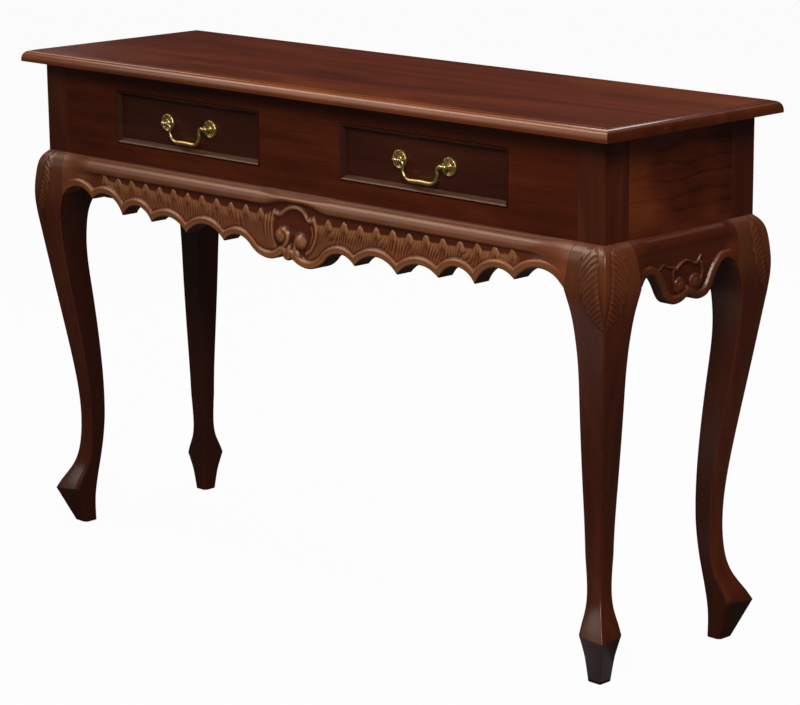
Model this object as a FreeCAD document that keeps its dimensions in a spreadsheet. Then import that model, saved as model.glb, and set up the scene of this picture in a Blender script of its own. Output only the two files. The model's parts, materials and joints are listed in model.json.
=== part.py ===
import FreeCAD, Part
import math
import os

import Sketcher

# A sofa table on four square cabriole legs, with two drawers over a scalloped apron.
# Millimetres. The origin is on the floor under the middle of the top; -Y is the drawer side.

SIZES = {
    # Whole table
    "top_length": 1270,
    "top_depth": 380,
    "table_height": 800,
    "top_thickness": 21,
    "top_overhang": 29,
    # Moulded edge of the top
    "edge_width": 14,
    "edge_step": 1.5,
    "edge_band": 3.5,
    "edge_round": 3,
    # Carcase
    "post_size": 50,
    "panel_thickness": 20,
    "top_rail_height": 28,
    "opening_height": 85.5,
    "bottom_rail_height": 29.5,
    "centre_stile_width": 177,
    "end_stile_width": 128,
    # Mortises and tenons
    "tenon_length": 25,
    "tenon_thickness": 8,
    "tenon_shoulder": 6,
    "stub_length": 7,
    "joint_fit": 0.1,
    "overrun": 5,
    # Cabriole leg, measured out from and in from the corner of the carcase, and down from its lower edge
    "knee_bulge": 20,
    "knee_drop": 69,
    "ankle_inset": 24,
    "ankle_height": 160,
    "toe_reach": 8,
    "toe_height": 57,
    "base_inset": 14.5,
    "ear_reach": 56,
    "ear_drop": 66,
    "throat_reach": 39.6,
    "throat_drop": 156,
    "calf_reach": 54,
    "calf_height": 225,
    "heel_reach": 41,
    # Aprons
    "apron_back_inset": 9,
    "bead_reach": 17,
    "ground_reach": 10,
    "ledge_reach": 14,
    "ledge_drop": 3,
    "cornice_height": 15,
    "bead_width": 10,
    "blend_length": 70,
    "side_blend_length": 17.5,
    "front_apron_drop": 107,
    "side_apron_drop": 98,
    "rear_apron_drop": 46,
    "apron_tenon_height": 24,
    "apron_tenon_drop": 16,
    # Carving of the aprons, which on the front sits left of the middle
    "carving_offset": 13.5,
    "shell_radius": 36,
    "shell_rim": 4,
    "shell_drop": 40,
    "shell_dish_depth": 6,
    "scroll_radius": 10.5,
    "scroll_spacing": 34,
    "scroll_drop": 64,
    # Drawers
    "drawer_gap": 1,
    "running_clearance": 0.3,
    "front_thickness": 21.5,
    "lip_proud": 1.5,
    "lip_width": 2,
    "bevel_width": 6.5,
    "bevel_depth": 6,
    "recess_step": 2.5,
    "drawer_side_thickness": 12,
    "drawer_side_drop": 4,
    "drawer_bottom_thickness": 6,
    "drawer_bottom_rise": 9,
    "groove_depth": 5,
    "dado_depth": 4,
    "drawer_back_inset": 10,
    "tail_length": 12,
    # Runners, guides, kickers and stops
    "runner_width": 22,
    "runner_height": 18,
    "guide_width": 18,
    "guide_height": 24,
    "stop_height": 20,
    "stop_length": 20,
    "kicker_width": 40,
    "kicker_thickness": 16,
    # Blocks and screws
    "block_length": 60,
    "block_size": 22,
    "screw_radius": 2.2,
    "screw_bite": 12,
    "screw_head_radius": 4.2,
    "screw_head_height": 3,
    # Drawer handles
    "handle_spacing": 100,
    "handle_rise": 1.5,
    "rosette_radius": 14.5,
    "rosette_height": 4.5,
    "rosette_edge": 1.6,
    "rosette_boss_radius": 5,
    "rosette_rim": 3,
    "post_radius": 2.3,
    "pivot_reach": 11,
    "ball_radius": 4.2,
    "nut_radius": 4.6,
    "nut_height": 3.2,
    "bail_wire_radius": 2,
    "bail_pin_radius": 1.6,
    "bail_pin_clearance": 0.08,
    "bail_pin_overhang": 0.6,
    "bail_arm_inset": 16,
    "bail_drop": 26.5,
    "bail_shoulder_radius": 4.5,
    "bail_corner_radius": 11,
    "bail_grip_radius": 2.9,
    "bail_grip_length": 44,
    "bail_collar_radius": 3.2,
    "bail_collar_length": 9,
}

# A quarter circle rises this share of its chord
QUARTER_ROUND_SHARE = math.tan(math.pi / 8) / 2
BEVEL_BULGE_SHARE = 0.12

# Leg curves as shares of the way down and of the way across between their named points
SHOULDER_SHARES = ((0.22, 0.44), (0.62, 0.87))
SHIN_SHARES = ((0.135, 0.108), (0.403, 0.451), (0.676, 0.799))
INSTEP_SHARES = ((0.194, 0.044), (0.61, 0.353), (0.883, 0.825))
THROAT_SHARES = ((0.29, 0.62), (0.69, 0.94))
BACK_SHARES = ((0.302, 0.308), (0.647, 0.748))
HEEL_SHARES = ((0.391, 0.209), (0.667, 0.729), (0.818, 0.984))

# Scallops from the leg to the middle: share of the half span, share of the drop, rise share of the chord
FRONT_SCALLOP_SHARES = (
    (0.838, 0.617, 0.25),
    (0.7014, 0.78, 0.28),
    (0.572, 0.794, 0.197),
    (0.421, 0.863, 0.222),
    (0.261, 0.862, 0.2),
    (0.151, 0.841, -0.155),
)
FRONT_NOTCH_SHARE = 0.916
FRONT_FIRST_RISE_SHARE = 0.229
SIDE_SCALLOP_SHARES = ((0.52, 0.755, -0.2),)
SIDE_NOTCH_SHARE = 0.95
SIDE_FIRST_RISE_SHARE = 0.27
# Front curve of the apron at a leg, between the ledge and the lower edge
END_SECTION_SHARES = ((0.22, 0.44), (0.62, 0.87))
LOWER_END_SHARE = 0.97

# Dovetails
TAIL_COUNT = 3
TAIL_ROOT_SHARE = 0.5
TAIL_TIP_SHARE = 0.66

# Places of the blocks along the carcase, as shares of half the length between the posts
FIXING_SHARES = (-0.88, 0.0, 0.88)
GLUE_SHARES = (-0.62, -0.34, 0.34, 0.62)
NUT_SIDES = 6

doc = FreeCAD.newDocument("sofa_table")
sheet = doc.addObject("Spreadsheet::Sheet", "sizes")
for row, (alias, amount) in enumerate(SIZES.items(), start=1):
    sheet.set(f"A{row}", alias)
    sheet.set(f"B{row}", str(amount))
    sheet.setAlias(f"B{row}", alias)
doc.recompute()


class Size:
    """A length of the sheet, or a sum of such lengths, with the expression that binds it."""

    def __init__(self, text, value):
        self.text = text
        self.value = value

    def __add__(self, other):
        return Size(f"({self.text} + {text_of(other)})", self.value + number(other))

    def __radd__(self, other):
        return Size(f"({text_of(other)} + {self.text})", number(other) + self.value)

    def __sub__(self, other):
        return Size(f"({self.text} - {text_of(other)})", self.value - number(other))

    def __rsub__(self, other):
        return Size(f"({text_of(other)} - {self.text})", number(other) - self.value)

    def __mul__(self, other):
        return Size(f"({self.text} * {text_of(other)})", self.value * number(other))

    def __rmul__(self, other):
        return Size(f"({text_of(other)} * {self.text})", number(other) * self.value)

    def __truediv__(self, other):
        return Size(f"({self.text} / {text_of(other)})", self.value / number(other))

    def __neg__(self):
        return Size(f"(0 - {self.text})", -self.value)

    def root(self):
        return Size(f"sqrt({self.text})", math.sqrt(self.value))


class SheetSizes:
    """Gives each cell of the sheet as a Size, under its alias."""

    def __getattr__(self, alias):
        return Size(f"sizes.{alias}", float(sheet.get(alias)))


def number(amount):
    """The plain value of a size or a number."""
    return amount.value if isinstance(amount, Size) else float(amount)


def text_of(amount):
    """The expression text of a size or a number."""
    return amount.text if isinstance(amount, Size) else repr(amount)


def bind(thing, **properties):
    """Ties properties of an object to the sheet."""
    for name, amount in properties.items():
        thing.setExpression(name.replace("__", "."), text_of(amount))


def place(thing, x, y, z, rotation=None):
    """Puts an object at a point whose coordinates follow the sheet."""
    if rotation is not None:
        thing.Placement = FreeCAD.Placement(FreeCAD.Vector(), rotation)
    bind(thing, Placement__Base__x=x, Placement__Base__y=y, Placement__Base__z=z)
    return thing


class Block:
    """A box given by its low and high edge along each axis."""

    def __init__(self, x, y, z):
        self.x = x
        self.y = y
        self.z = z

    def grown(self, fit):
        """The same box, larger by the fit on every side."""
        return Block(*[(low - fit, high + fit) for low, high in (self.x, self.y, self.z)])

    def add(self, name):
        """Adds the box to the document."""
        box = doc.addObject("Part::Box", name)
        bind(box, Length=self.x[1] - self.x[0], Width=self.y[1] - self.y[0], Height=self.z[1] - self.z[0])
        return place(box, self.x[0], self.y[0], self.z[0])


def about(middle, breadth):
    """The low and high edge of a breadth centred on a middle."""
    return middle - breadth / 2, middle + breadth / 2


def sided(side, near, far):
    """The low and high edge of a stretch on the left (-1) or right (1) of the middle."""
    return (near, far) if side > 0 else (-far, -near)


def fused(name, things):
    """One solid of several that meet."""
    union = doc.addObject("Part::MultiFuse", name)
    union.Shapes = things
    union.Refine = True
    return union


def grouped(name, things):
    """Separate solids kept as one node."""
    group = doc.addObject("Part::Compound", name)
    group.Links = things
    return group


def cut(name, base, tools):
    """A solid with one or more tools taken out of it."""
    result = doc.addObject("Part::Cut", name)
    result.Base = base
    result.Tool = tools[0] if len(tools) == 1 else grouped(name + "_tools", tools)
    return result


def overlap(name, first, second):
    """What two solids share."""
    result = doc.addObject("Part::Common", name)
    result.Base = first
    result.Tool = second
    return result


def board(name, core, tenons=(), mortises=(), holes=()):
    """A board with tenons on it, mortises cut in it and holes bored through it."""
    pieces = [core] + list(tenons)
    parts = [piece.add(f"{name}_stock_{index}") for index, piece in enumerate(pieces)]
    result = parts[0] if len(parts) == 1 else fused(f"{name}_joined", parts)
    slots = [piece.grown(size.joint_fit) for piece in mortises]
    tools = [slot.add(f"{name}_mortise_{index}") for index, slot in enumerate(slots)]
    tools += list(holes)
    if tools:
        result = cut(f"{name}_cut", result, tools)
    return finished(name, result)


def finished(name, thing):
    """Marks an object as a sub-part under its own name."""
    thing.Label = name
    sub_parts.append(thing)
    return thing


def drawn(body, role, corners, start, closed=True):
    """Draws an outline of lines and arcs on a plane of the body, every corner tied to the sheet.

    A corner is (across, up, bulge to the next corner). A bulge is a share of the chord or, as a Size, a
    rise above it, and is positive to the left of travel.
    """
    plane = next(item for item in body.Origin.OriginFeatures if item.Role == role)
    sketch = body.newObject("Sketcher::SketchObject", body.Name + "_sketch")
    sketch.AttachmentSupport = [(plane, "")]
    sketch.MapMode = "FlatFace"
    bind(sketch, AttachmentOffset__Base__z=start)
    count = len(corners)
    runs = count if closed else count - 1
    ends = []
    rules = []
    ties = []
    for index in range(runs):
        across, up, bulge = corners[index]
        next_across, next_up, _ = corners[(index + 1) % count]
        begin = FreeCAD.Vector(number(across), number(up), 0)
        end = FreeCAD.Vector(number(next_across), number(next_up), 0)
        if number(bulge) == 0:
            sketch.addGeometry(Part.LineSegment(begin, end))
            ends.append((1, 2))
            continue
        span_across = next_across - across
        span_up = next_up - up
        reach = (span_across * span_across + span_up * span_up).root()
        left = number(bulge) > 0
        rise = bulge if isinstance(bulge, Size) else reach * bulge
        rise = rise if left else -rise
        chord = end - begin
        share = rise.value / reach.value * (1 if left else -1)
        crown = begin + chord / 2 + FreeCAD.Vector(-chord.y, chord.x, 0) * share
        sketch.addGeometry(Part.Arc(end, crown, begin) if left else Part.Arc(begin, crown, end))
        ends.append((2, 1) if left else (1, 2))
        radius = reach * reach / (8 * rise) + rise / 2
        ties.append((len(rules), radius))
        rules.append(Sketcher.Constraint("Radius", index, number(radius)))
    for index in range(count):
        run, end = (index, 0) if index < runs else (index - 1, 1)
        point = ends[run][end]
        across, up, _ = corners[index]
        for kind, axis, amount in (("DistanceX", -2, across), ("DistanceY", -1, up)):
            if isinstance(amount, Size):
                ties.append((len(rules), amount))
                rules.append(Sketcher.Constraint(kind, -1, 1, run, point, amount.value))
            else:
                rules.append(Sketcher.Constraint("PointOnObject", run, point, axis))
    for index in range(runs):
        following = (index + 1) % count
        if following < runs and (closed or following > 0):
            meeting = (index, ends[index][1], following, ends[following][0])
            rules.append(Sketcher.Constraint("Coincident", *meeting))
    sketch.addConstraint(rules)
    for rule, amount in ties:
        sketch.setExpression(f"Constraints[{rule}]", amount.text)
    return sketch


def prism(name, role, corners, start, length):
    """A body padded from an outline, along the plane's normal."""
    body = doc.addObject("PartDesign::Body", name)
    pad = body.newObject("PartDesign::Pad", name + "_pad")
    pad.Profile = drawn(body, role, corners, start)
    bind(pad, Length=length)
    body.Tip = pad
    return body


def pocketed(body, role, corners, start, length, reverse):
    """Cuts an outline out of a body, from its plane against the normal, or along it when reversed."""
    sketch = drawn(body, role, corners, start)
    doc.recompute()
    before = body.Shape.Volume
    pocket = body.newObject("PartDesign::Pocket", sketch.Name + "_pocket")
    pocket.Profile = sketch
    pocket.Reversed = reverse
    bind(pocket, Length=length)
    body.Tip = pocket
    doc.recompute()
    assert body.Shape.Volume < before, f"{body.Name}: the pocket cut nothing"


def turned(name, corners):
    """A body turned about the Y axis from an outline of radii and places along Y."""
    body = doc.addObject("PartDesign::Body", name)
    sketch = drawn(body, "XY_Plane", corners, 0)
    revolution = body.newObject("PartDesign::Revolution", name + "_turning")
    revolution.Profile = sketch
    revolution.ReferenceAxis = (sketch, ["V_Axis"])
    body.Tip = revolution
    return body


def rod(name, radius, length, x, y, z, axis):
    """A round bar that starts at a point and runs along an axis."""
    bar = doc.addObject("Part::Cylinder", name)
    bind(bar, Radius=radius, Height=length)
    return place(bar, x, y, z, FreeCAD.Rotation(FreeCAD.Vector(0, 0, 1), FreeCAD.Vector(*axis)))


def wedge(name, x, y, tip, root):
    """A dovetail that narrows along Y from its tip to its root."""
    tail = doc.addObject("Part::Wedge", name)
    bind(tail, Xmin=x[0], Xmax=x[1], X2min=x[0], X2max=x[1], Ymin=y[0], Ymax=y[1])
    bind(tail, Zmin=tip[0], Zmax=tip[1], Z2min=root[0], Z2max=root[1])
    return tail


size = SheetSizes()
sub_parts = []

# Places worked out from the driving sizes
half_length = size.top_length / 2 - size.top_overhang
half_depth = size.top_depth / 2 - size.top_overhang
post_top = size.table_height - size.top_thickness
inner_length = half_length - size.post_size
inner_depth = half_depth - size.post_size
opening_high = post_top - size.top_rail_height
opening_low = opening_high - size.opening_height
ledge_height = opening_low - size.bottom_rail_height
knee_height = ledge_height - size.knee_drop
ear_height = ledge_height - size.ear_drop
throat_height = ledge_height - size.throat_drop
opening_near = size.centre_stile_width / 2
opening_far = inner_length - size.end_stile_width
opening_width = opening_far - opening_near
drawer_middle = opening_near + opening_width / 2
front_inside = -half_depth + size.panel_thickness
rear_inside = half_depth - size.panel_thickness
front_middle = -half_depth + size.panel_thickness / 2
rear_middle = half_depth - size.panel_thickness / 2
drawer_face = -half_depth - size.lip_proud
drawer_front_back = drawer_face + size.front_thickness
panel_face = drawer_face + size.bevel_depth + size.recess_step
side_low = opening_low + size.running_clearance
side_high = opening_high - size.drawer_gap - size.drawer_side_drop
drawer_rear = rear_inside - size.stop_length - size.running_clearance
pivot_y = panel_face - size.pivot_reach
pivot_z = (opening_low + opening_high) / 2 + size.handle_rise

# Tenons, each used for the tenon and for its mortise
tenon_y = {
    "front": about(front_middle, size.tenon_thickness),
    "rear": about(rear_middle, size.tenon_thickness),
}


def rail_tenon(side, row, low, high):
    """A tenon at the end of a front or rear board."""
    x = sided(side, inner_length, inner_length + size.tenon_length)
    return Block(x, tenon_y[row], (low + size.tenon_shoulder, high - size.tenon_shoulder))


def panel_tenon(side, end):
    """A tenon at the front (-1) or rear (1) end of a side panel."""
    x = sided(side, *about(half_length - size.panel_thickness / 2, size.tenon_thickness))
    y = sided(end, inner_depth, inner_depth + size.tenon_length)
    return Block(x, y, (ledge_height + size.tenon_shoulder, post_top - size.tenon_shoulder))


def apron_tenon(half_span, face, end):
    """A tenon at an end of an apron that lies along X with its face towards -Y."""
    middle = -face + (size.apron_back_inset - size.ground_reach) / 2
    high = ledge_height - size.apron_tenon_drop
    x = sided(end, half_span - size.tenon_length / 2, half_span + size.tenon_length / 2)
    return Block(x, about(middle, size.tenon_thickness), (high - size.apron_tenon_height, high))


def stile_tenons(middle, breadth):
    """The stub tenons above and below a front stile."""
    x = about(middle, breadth - 2 * size.tenon_shoulder)
    low = Block(x, tenon_y["front"], (opening_low - size.stub_length, opening_low))
    high = Block(x, tenon_y["front"], (opening_high, opening_high + size.stub_length))
    return low, high


STILES = {
    "front_left_stile": (-(opening_far + inner_length) / 2, size.end_stile_width),
    "front_centre_stile": (0, size.centre_stile_width),
    "front_right_stile": ((opening_far + inner_length) / 2, size.end_stile_width),
}


def runner_edges(side, inner):
    """X ranges of a runner's shelf, guide and the drawer side on it."""
    if inner:
        shelf = sided(side, opening_near, opening_near + size.runner_width)
        guide = sided(side, opening_near - size.guide_width, opening_near)
    else:
        shelf = sided(side, opening_far - size.runner_width, opening_far)
        guide = sided(side, opening_far, opening_far + size.guide_width)
    return shelf, guide


def runner_stub(side, inner, y):
    """The stub tenon at one end of a runner."""
    shelf, _ = runner_edges(side, inner)
    high = opening_low - size.tenon_shoulder
    return Block(about((shelf[0] + shelf[1]) / 2, size.runner_width / 2), y,
                 (opening_low - size.runner_height + size.tenon_shoulder, high))


def kicker_stub(side, y):
    """The stub tenon at one end of a kicker."""
    z = about(opening_high + size.kicker_thickness / 2, size.kicker_thickness / 2)
    return Block(about(side * drawer_middle, size.kicker_width / 2), y, z)


FRONT_STUB_Y = (front_inside - size.stub_length, front_inside)
REAR_STUB_Y = (rear_inside, rear_inside + size.stub_length)
SIDES = {"left": -1, "right": 1}
RUNNERS = [(side, inner) for side in SIDES.values() for inner in (True, False)]


def fixing_places():
    """Block and screw places under the top: front row, rear row and both sides."""
    half = size.block_length / 2
    places = []
    for share in FIXING_SHARES:
        middle = inner_length * share
        places.append((middle - half, middle + half, front_inside, front_inside + size.block_size))
        places.append((middle - half, middle + half, rear_inside - size.block_size, rear_inside))
    for side in SIDES.values():
        inside = half_length - size.panel_thickness
        x = sided(side, inside - size.block_size, inside)
        places.append((x[0], x[1], -half, half))
    return places


# Table top
def moulded_section(half_breadth):
    """Section of the top across its moulded edges."""
    low = post_top
    high = size.table_height
    band = low + size.edge_round + size.edge_band
    crown = high - size.edge_step
    shelf = half_breadth - size.edge_width
    foot = half_breadth - size.edge_round
    return [
        (-foot, low, 0),
        (foot, low, -QUARTER_ROUND_SHARE),
        (half_breadth, low + size.edge_round, 0),
        (half_breadth, band, -QUARTER_ROUND_SHARE),
        (shelf, crown, 0),
        (shelf, high, 0),
        (-shelf, high, 0),
        (-shelf, crown, -QUARTER_ROUND_SHARE),
        (-half_breadth, band, 0),
        (-half_breadth, low + size.edge_round, -QUARTER_ROUND_SHARE),
    ]


def table_top():
    """The top board, its edge moulding mitred at the corners, bored for the fixing screws."""
    half_x = size.top_length / 2
    half_y = size.top_depth / 2
    along = prism("top_along", "YZ_Plane", moulded_section(half_y), -half_x, size.top_length)
    across = prism("top_across", "XZ_Plane", moulded_section(half_x), -half_y, size.top_depth)
    stock = overlap("top_board", along, across)
    pilots = []
    bore = size.screw_radius + size.joint_fit
    deep = size.screw_bite + size.joint_fit
    for index, (x0, x1, y0, y1) in enumerate(fixing_places()):
        middle = ((x0 + x1) / 2, (y0 + y1) / 2, post_top)
        pilots.append(rod(f"top_pilot_{index}", bore, deep, *middle, (0, 0, 1)))
    return finished("table_top", cut("top_bored", stock, pilots))


# Cabriole legs
def leg_profile(name, outward):
    """The leg's side view, in the plane of an outward direction and the vertical."""

    def point(offset, height):
        return outward * number(offset) + FreeCAD.Vector(0, 0, number(height))

    def run(first, last, shares):
        """Points between two named points of a curve."""
        across = last[0] - first[0]
        down = last[1] - first[1]
        return [point(first[0] + across * b, first[1] + down * a) for a, b in shares]

    def curve(points):
        spline = Part.BSplineCurve()
        spline.interpolate(points)
        return spline.toShape()

    shoulder = (0, ledge_height)
    knee = (size.knee_bulge, knee_height)
    ankle = (-size.ankle_inset, size.ankle_height)
    toe = (size.toe_reach, size.toe_height)
    base = (-size.base_inset, 0)
    heel = (-size.heel_reach, 0)
    calf = (-size.calf_reach, size.calf_height)
    throat = (-size.throat_reach, throat_height)
    ear = (-size.ear_reach, ear_height)
    seat = (-size.post_size, ledge_height)
    front = [point(*shoulder), *run(shoulder, knee, SHOULDER_SHARES), point(*knee)]
    front += [*run(knee, ankle, SHIN_SHARES), point(*ankle)]
    front += [*run(ankle, toe, INSTEP_SHARES), point(*toe)]
    back = [point(*ear), *run(ear, throat, THROAT_SHARES), point(*throat)]
    back += [*run(throat, calf, BACK_SHARES), point(*calf)]
    back += [*run(calf, heel, HEEL_SHARES), point(*heel)]
    post_outer = point(0, post_top)
    post_inner = point(-size.post_size, post_top)
    edges = [
        Part.makeLine(post_outer, point(*shoulder)),
        curve(front),
        Part.makeLine(point(*toe), point(*base)),
        Part.makeLine(point(*base), point(*heel)),
        curve(back),
        Part.makeLine(point(*ear), point(*seat)),
        Part.makeLine(point(*seat), post_inner),
        Part.makeLine(post_inner, post_outer),
    ]
    profile = doc.addObject("Part::Feature", name)
    profile.Shape = Part.Face(Part.Wire(Part.__sortEdges__(edges)))
    return profile


def leg_blank(name, depth_side):
    """A right-hand leg, square in section, shaped by the same profile from both sides."""
    breadth = 2 * (size.ear_reach + size.knee_bulge)
    views = []
    for view, outward, along in (
        ("front", FreeCAD.Vector(1, 0, 0), FreeCAD.Vector(0, 1, 0)),
        ("side", FreeCAD.Vector(0, depth_side, 0), FreeCAD.Vector(1, 0, 0)),
    ):
        stock = doc.addObject("Part::Extrusion", f"{name}_{view}_sawn")
        stock.Base = leg_profile(f"{name}_{view}", outward)
        stock.DirMode = "Custom"
        stock.Dir = along
        stock.Solid = True
        stock.Symmetric = True
        bind(stock, LengthFwd=breadth)
        views.append(stock)
    blank = overlap(name, *views)
    return place(blank, half_length, depth_side * half_depth, 0)


def swung_to_side(block):
    """An apron's block, swung from the front to the right-hand side of the table."""
    return Block((-block.y[1], -block.y[0]), block.x, block.z)


def legs():
    """Four legs, each with its post and its mortises."""
    rails = [
        rail_tenon(1, "front", ledge_height, opening_low),
        rail_tenon(1, "front", opening_high, post_top),
        apron_tenon(inner_length, half_depth, 1),
    ]
    rear_apron = apron_tenon(inner_length, half_depth, 1)
    rear_apron = Block(rear_apron.x, tenon_y["rear"], rear_apron.z)
    backs = [rail_tenon(1, "rear", ledge_height, post_top), rear_apron]
    for row, depth_side, joints in (("front", -1, rails), ("rear", 1, backs)):
        side_apron = swung_to_side(apron_tenon(inner_depth, half_length, depth_side))
        tools = [
            piece.grown(size.joint_fit).add(f"leg_{row}_mortise_{index}")
            for index, piece in enumerate([*joints, panel_tenon(1, depth_side), side_apron])
        ]
        right = cut(f"leg_{row}_mortised", leg_blank(f"leg_{row}_blank", depth_side), tools)
        left = doc.addObject("Part::Mirroring", f"leg_{row}_mirrored")
        left.Source = right
        left.Normal = FreeCAD.Vector(1, 0, 0)
        finished(f"leg_{row}_right", right)
        finished(f"leg_{row}_left", left)


# Carcase boards
def carcase():
    """Front rails and stiles, side panels and back, tenoned together."""
    y = (-half_depth, front_inside)
    joints = {name: stile_tenons(middle, breadth) for name, (middle, breadth) in STILES.items()}
    length = (-inner_length, inner_length)
    for name, low, high, level in (
        ("front_bottom_rail", ledge_height, opening_low, 0),
        ("front_top_rail", opening_high, post_top, 1),
    ):
        tenons = [rail_tenon(side, "front", low, high) for side in SIDES.values()]
        mortises = [pair[level] for pair in joints.values()]
        if level == 0:
            mortises += [runner_stub(side, inner, FRONT_STUB_Y) for side, inner in RUNNERS]
        else:
            mortises += [kicker_stub(side, FRONT_STUB_Y) for side in SIDES.values()]
        board(name, Block(length, y, (low, high)), tenons, mortises)
    for name, (middle, breadth) in STILES.items():
        board(name, Block(about(middle, breadth), y, (opening_low, opening_high)), joints[name])
    walls = (ledge_height, post_top)
    for name, side in SIDES.items():
        x = sided(side, half_length - size.panel_thickness, half_length)
        tenons = [panel_tenon(side, end) for end in SIDES.values()]
        board(f"side_panel_{name}", Block(x, (-inner_depth, inner_depth), walls), tenons)
    tenons = [rail_tenon(side, "rear", *walls) for side in SIDES.values()]
    mortises = [runner_stub(side, inner, REAR_STUB_Y) for side, inner in RUNNERS]
    mortises += [kicker_stub(side, REAR_STUB_Y) for side in SIDES.values()]
    board("back_panel", Block(length, (rear_inside, half_depth), walls), tenons, mortises)


# Aprons
def scallop_corners(half_span, drop, shares, first_rise, notch, lift, offset):
    """The lower edge of an apron from leg to leg, raised by a lift and set off to the left."""
    ear = half_span - (size.ear_reach - size.post_size)
    low = ledge_height + lift
    ends = ear_height + lift
    cusps = [(half_span * across, low - drop * down) for across, down, _ in shares]
    rises = [rise for _, _, rise in shares]
    left = [(-across - offset, up, rise) for (across, up), rise in zip(cusps, rises)]
    middle = (-offset, low - drop * notch, rises[-1])
    outward_rises = [*reversed(rises[:-1]), first_rise]
    right = [(across - offset, up, rise) for (across, up), rise in zip(reversed(cusps), outward_rises)]
    return [(-ear, ends, first_rise), *left, middle, *right, (ear, ends, 0)]


def apron_section(face, drop, kind):
    """Section of an apron across its length: at a leg the knee's shoulder, elsewhere a ledge."""
    back = -face + size.apron_back_inset
    low = ledge_height - drop - size.overrun
    front = -face - size.bead_reach
    if kind == "leg":
        down = ledge_height - knee_height
        upper, lower = END_SECTION_SHARES
        nose = (-face - size.knee_bulge * upper[1], ledge_height - down * upper[0], 0)
        foot = (-face - size.knee_bulge * lower[1], ledge_height - down * lower[0], 0)
        root = (-face, ledge_height, 0)
        sill = (-face - size.knee_bulge * LOWER_END_SHARE, low, 0)
    else:
        root = (-face, ledge_height, 0)
        nose = (-face - size.ledge_reach, ledge_height - size.ledge_drop, 0)
        foot = (front, ledge_height - size.cornice_height, 0)
        sill = (front, low, 0)
    return [(back, low, 0), (back, ledge_height, 0), root, nose, foot, sill]


def shaped_apron(name, half_span, face, drop, shares, first_rise, notch, angle, carved_shell):
    """A scalloped apron with ledge, sunk ground and bead, made along X and swung to its side."""
    body = doc.addObject("PartDesign::Body", name + "_body")
    blend = half_span - (size.blend_length if carved_shell else size.side_blend_length)
    stations = ((-half_span, "leg"), (-blend, "ledge"), (blend, "ledge"), (half_span, "leg"))
    sections = [drawn(body, "YZ_Plane", apron_section(face, drop, kind), x) for x, kind in stations]
    loft = body.newObject("PartDesign::AdditiveLoft", name + "_loft")
    loft.Profile = sections[0]
    loft.Sections = sections[1:]
    loft.Ruled = True
    body.Tip = loft
    doc.recompute()
    offset = size.carving_offset if carved_shell else 0
    edge = scallop_corners(half_span, drop, shares, first_rise, notch, 0, offset)
    ear = half_span - (size.ear_reach - size.post_size)
    beyond = half_span + size.overrun
    low = ledge_height - drop - 2 * size.overrun
    waste = [(-beyond, low, 0), (-beyond, ear_height, 0), *edge,
             (beyond, ear_height, 0), (beyond, low, 0)]
    deep = face + size.bead_reach + size.overrun
    thick = size.bead_reach + size.apron_back_inset + 2 * size.overrun
    pocketed(body, "XZ_Plane", waste, deep, thick, False)
    for end in SIDES.values():
        corner = (end * ear, ear_height, 0)
        top = (end * half_span, ledge_height + size.overrun, 0)
        seam = (end * half_span, ledge_height, 0)
        end_waste = [corner, seam, top, (end * beyond, ledge_height + size.overrun, 0),
                     (end * beyond, ear_height, 0)]
        pocketed(body, "XZ_Plane", end_waste, deep, thick, False)
    inner = scallop_corners(half_span, drop, shares, first_rise, notch, size.bead_width, offset)
    high = ledge_height - size.cornice_height - size.bead_width / 2
    ground = [*inner, (blend, high, 0), (-blend, high, 0)]
    pocketed(body, "XZ_Plane", ground, face + size.ground_reach, size.bead_reach, True)
    pieces = [body]
    pieces += [apron_tenon(half_span, face, end).add(f"{name}_tenon_{end}") for end in SIDES.values()]
    ground_y = -face - size.ground_reach
    scroll_z = ledge_height - size.scroll_drop
    if carved_shell:
        pieces.append(shell(name, -offset, ground_y))
    for end in SIDES.values():
        ball = doc.addObject("Part::Sphere", f"{name}_scroll_{end}")
        bind(ball, Radius=size.scroll_radius)
        pieces.append(place(ball, end * size.scroll_spacing / 2 - offset, ground_y, scroll_z))
    apron = fused(name + "_carved", pieces)
    apron.Placement = FreeCAD.Placement(FreeCAD.Vector(), FreeCAD.Rotation(FreeCAD.Vector(0, 0, 1), angle))
    return finished(name, apron)


def shell(name, middle, ground_y):
    """The hollow round shell in the middle of the front apron."""
    rim = size.shell_radius
    dish = rim - size.shell_rim
    front = -(size.bead_reach - size.ground_reach)
    sunk = front + size.shell_dish_depth
    disc = turned(name + "_shell", [
        (0, size.apron_back_inset / 2, 0),
        (rim, size.apron_back_inset / 2, 0),
        (rim, front, 0),
        (dish, front, 0),
        (0, sunk, 0),
    ])
    place(disc, middle, ground_y, ledge_height - size.shell_drop)
    return disc


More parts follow.
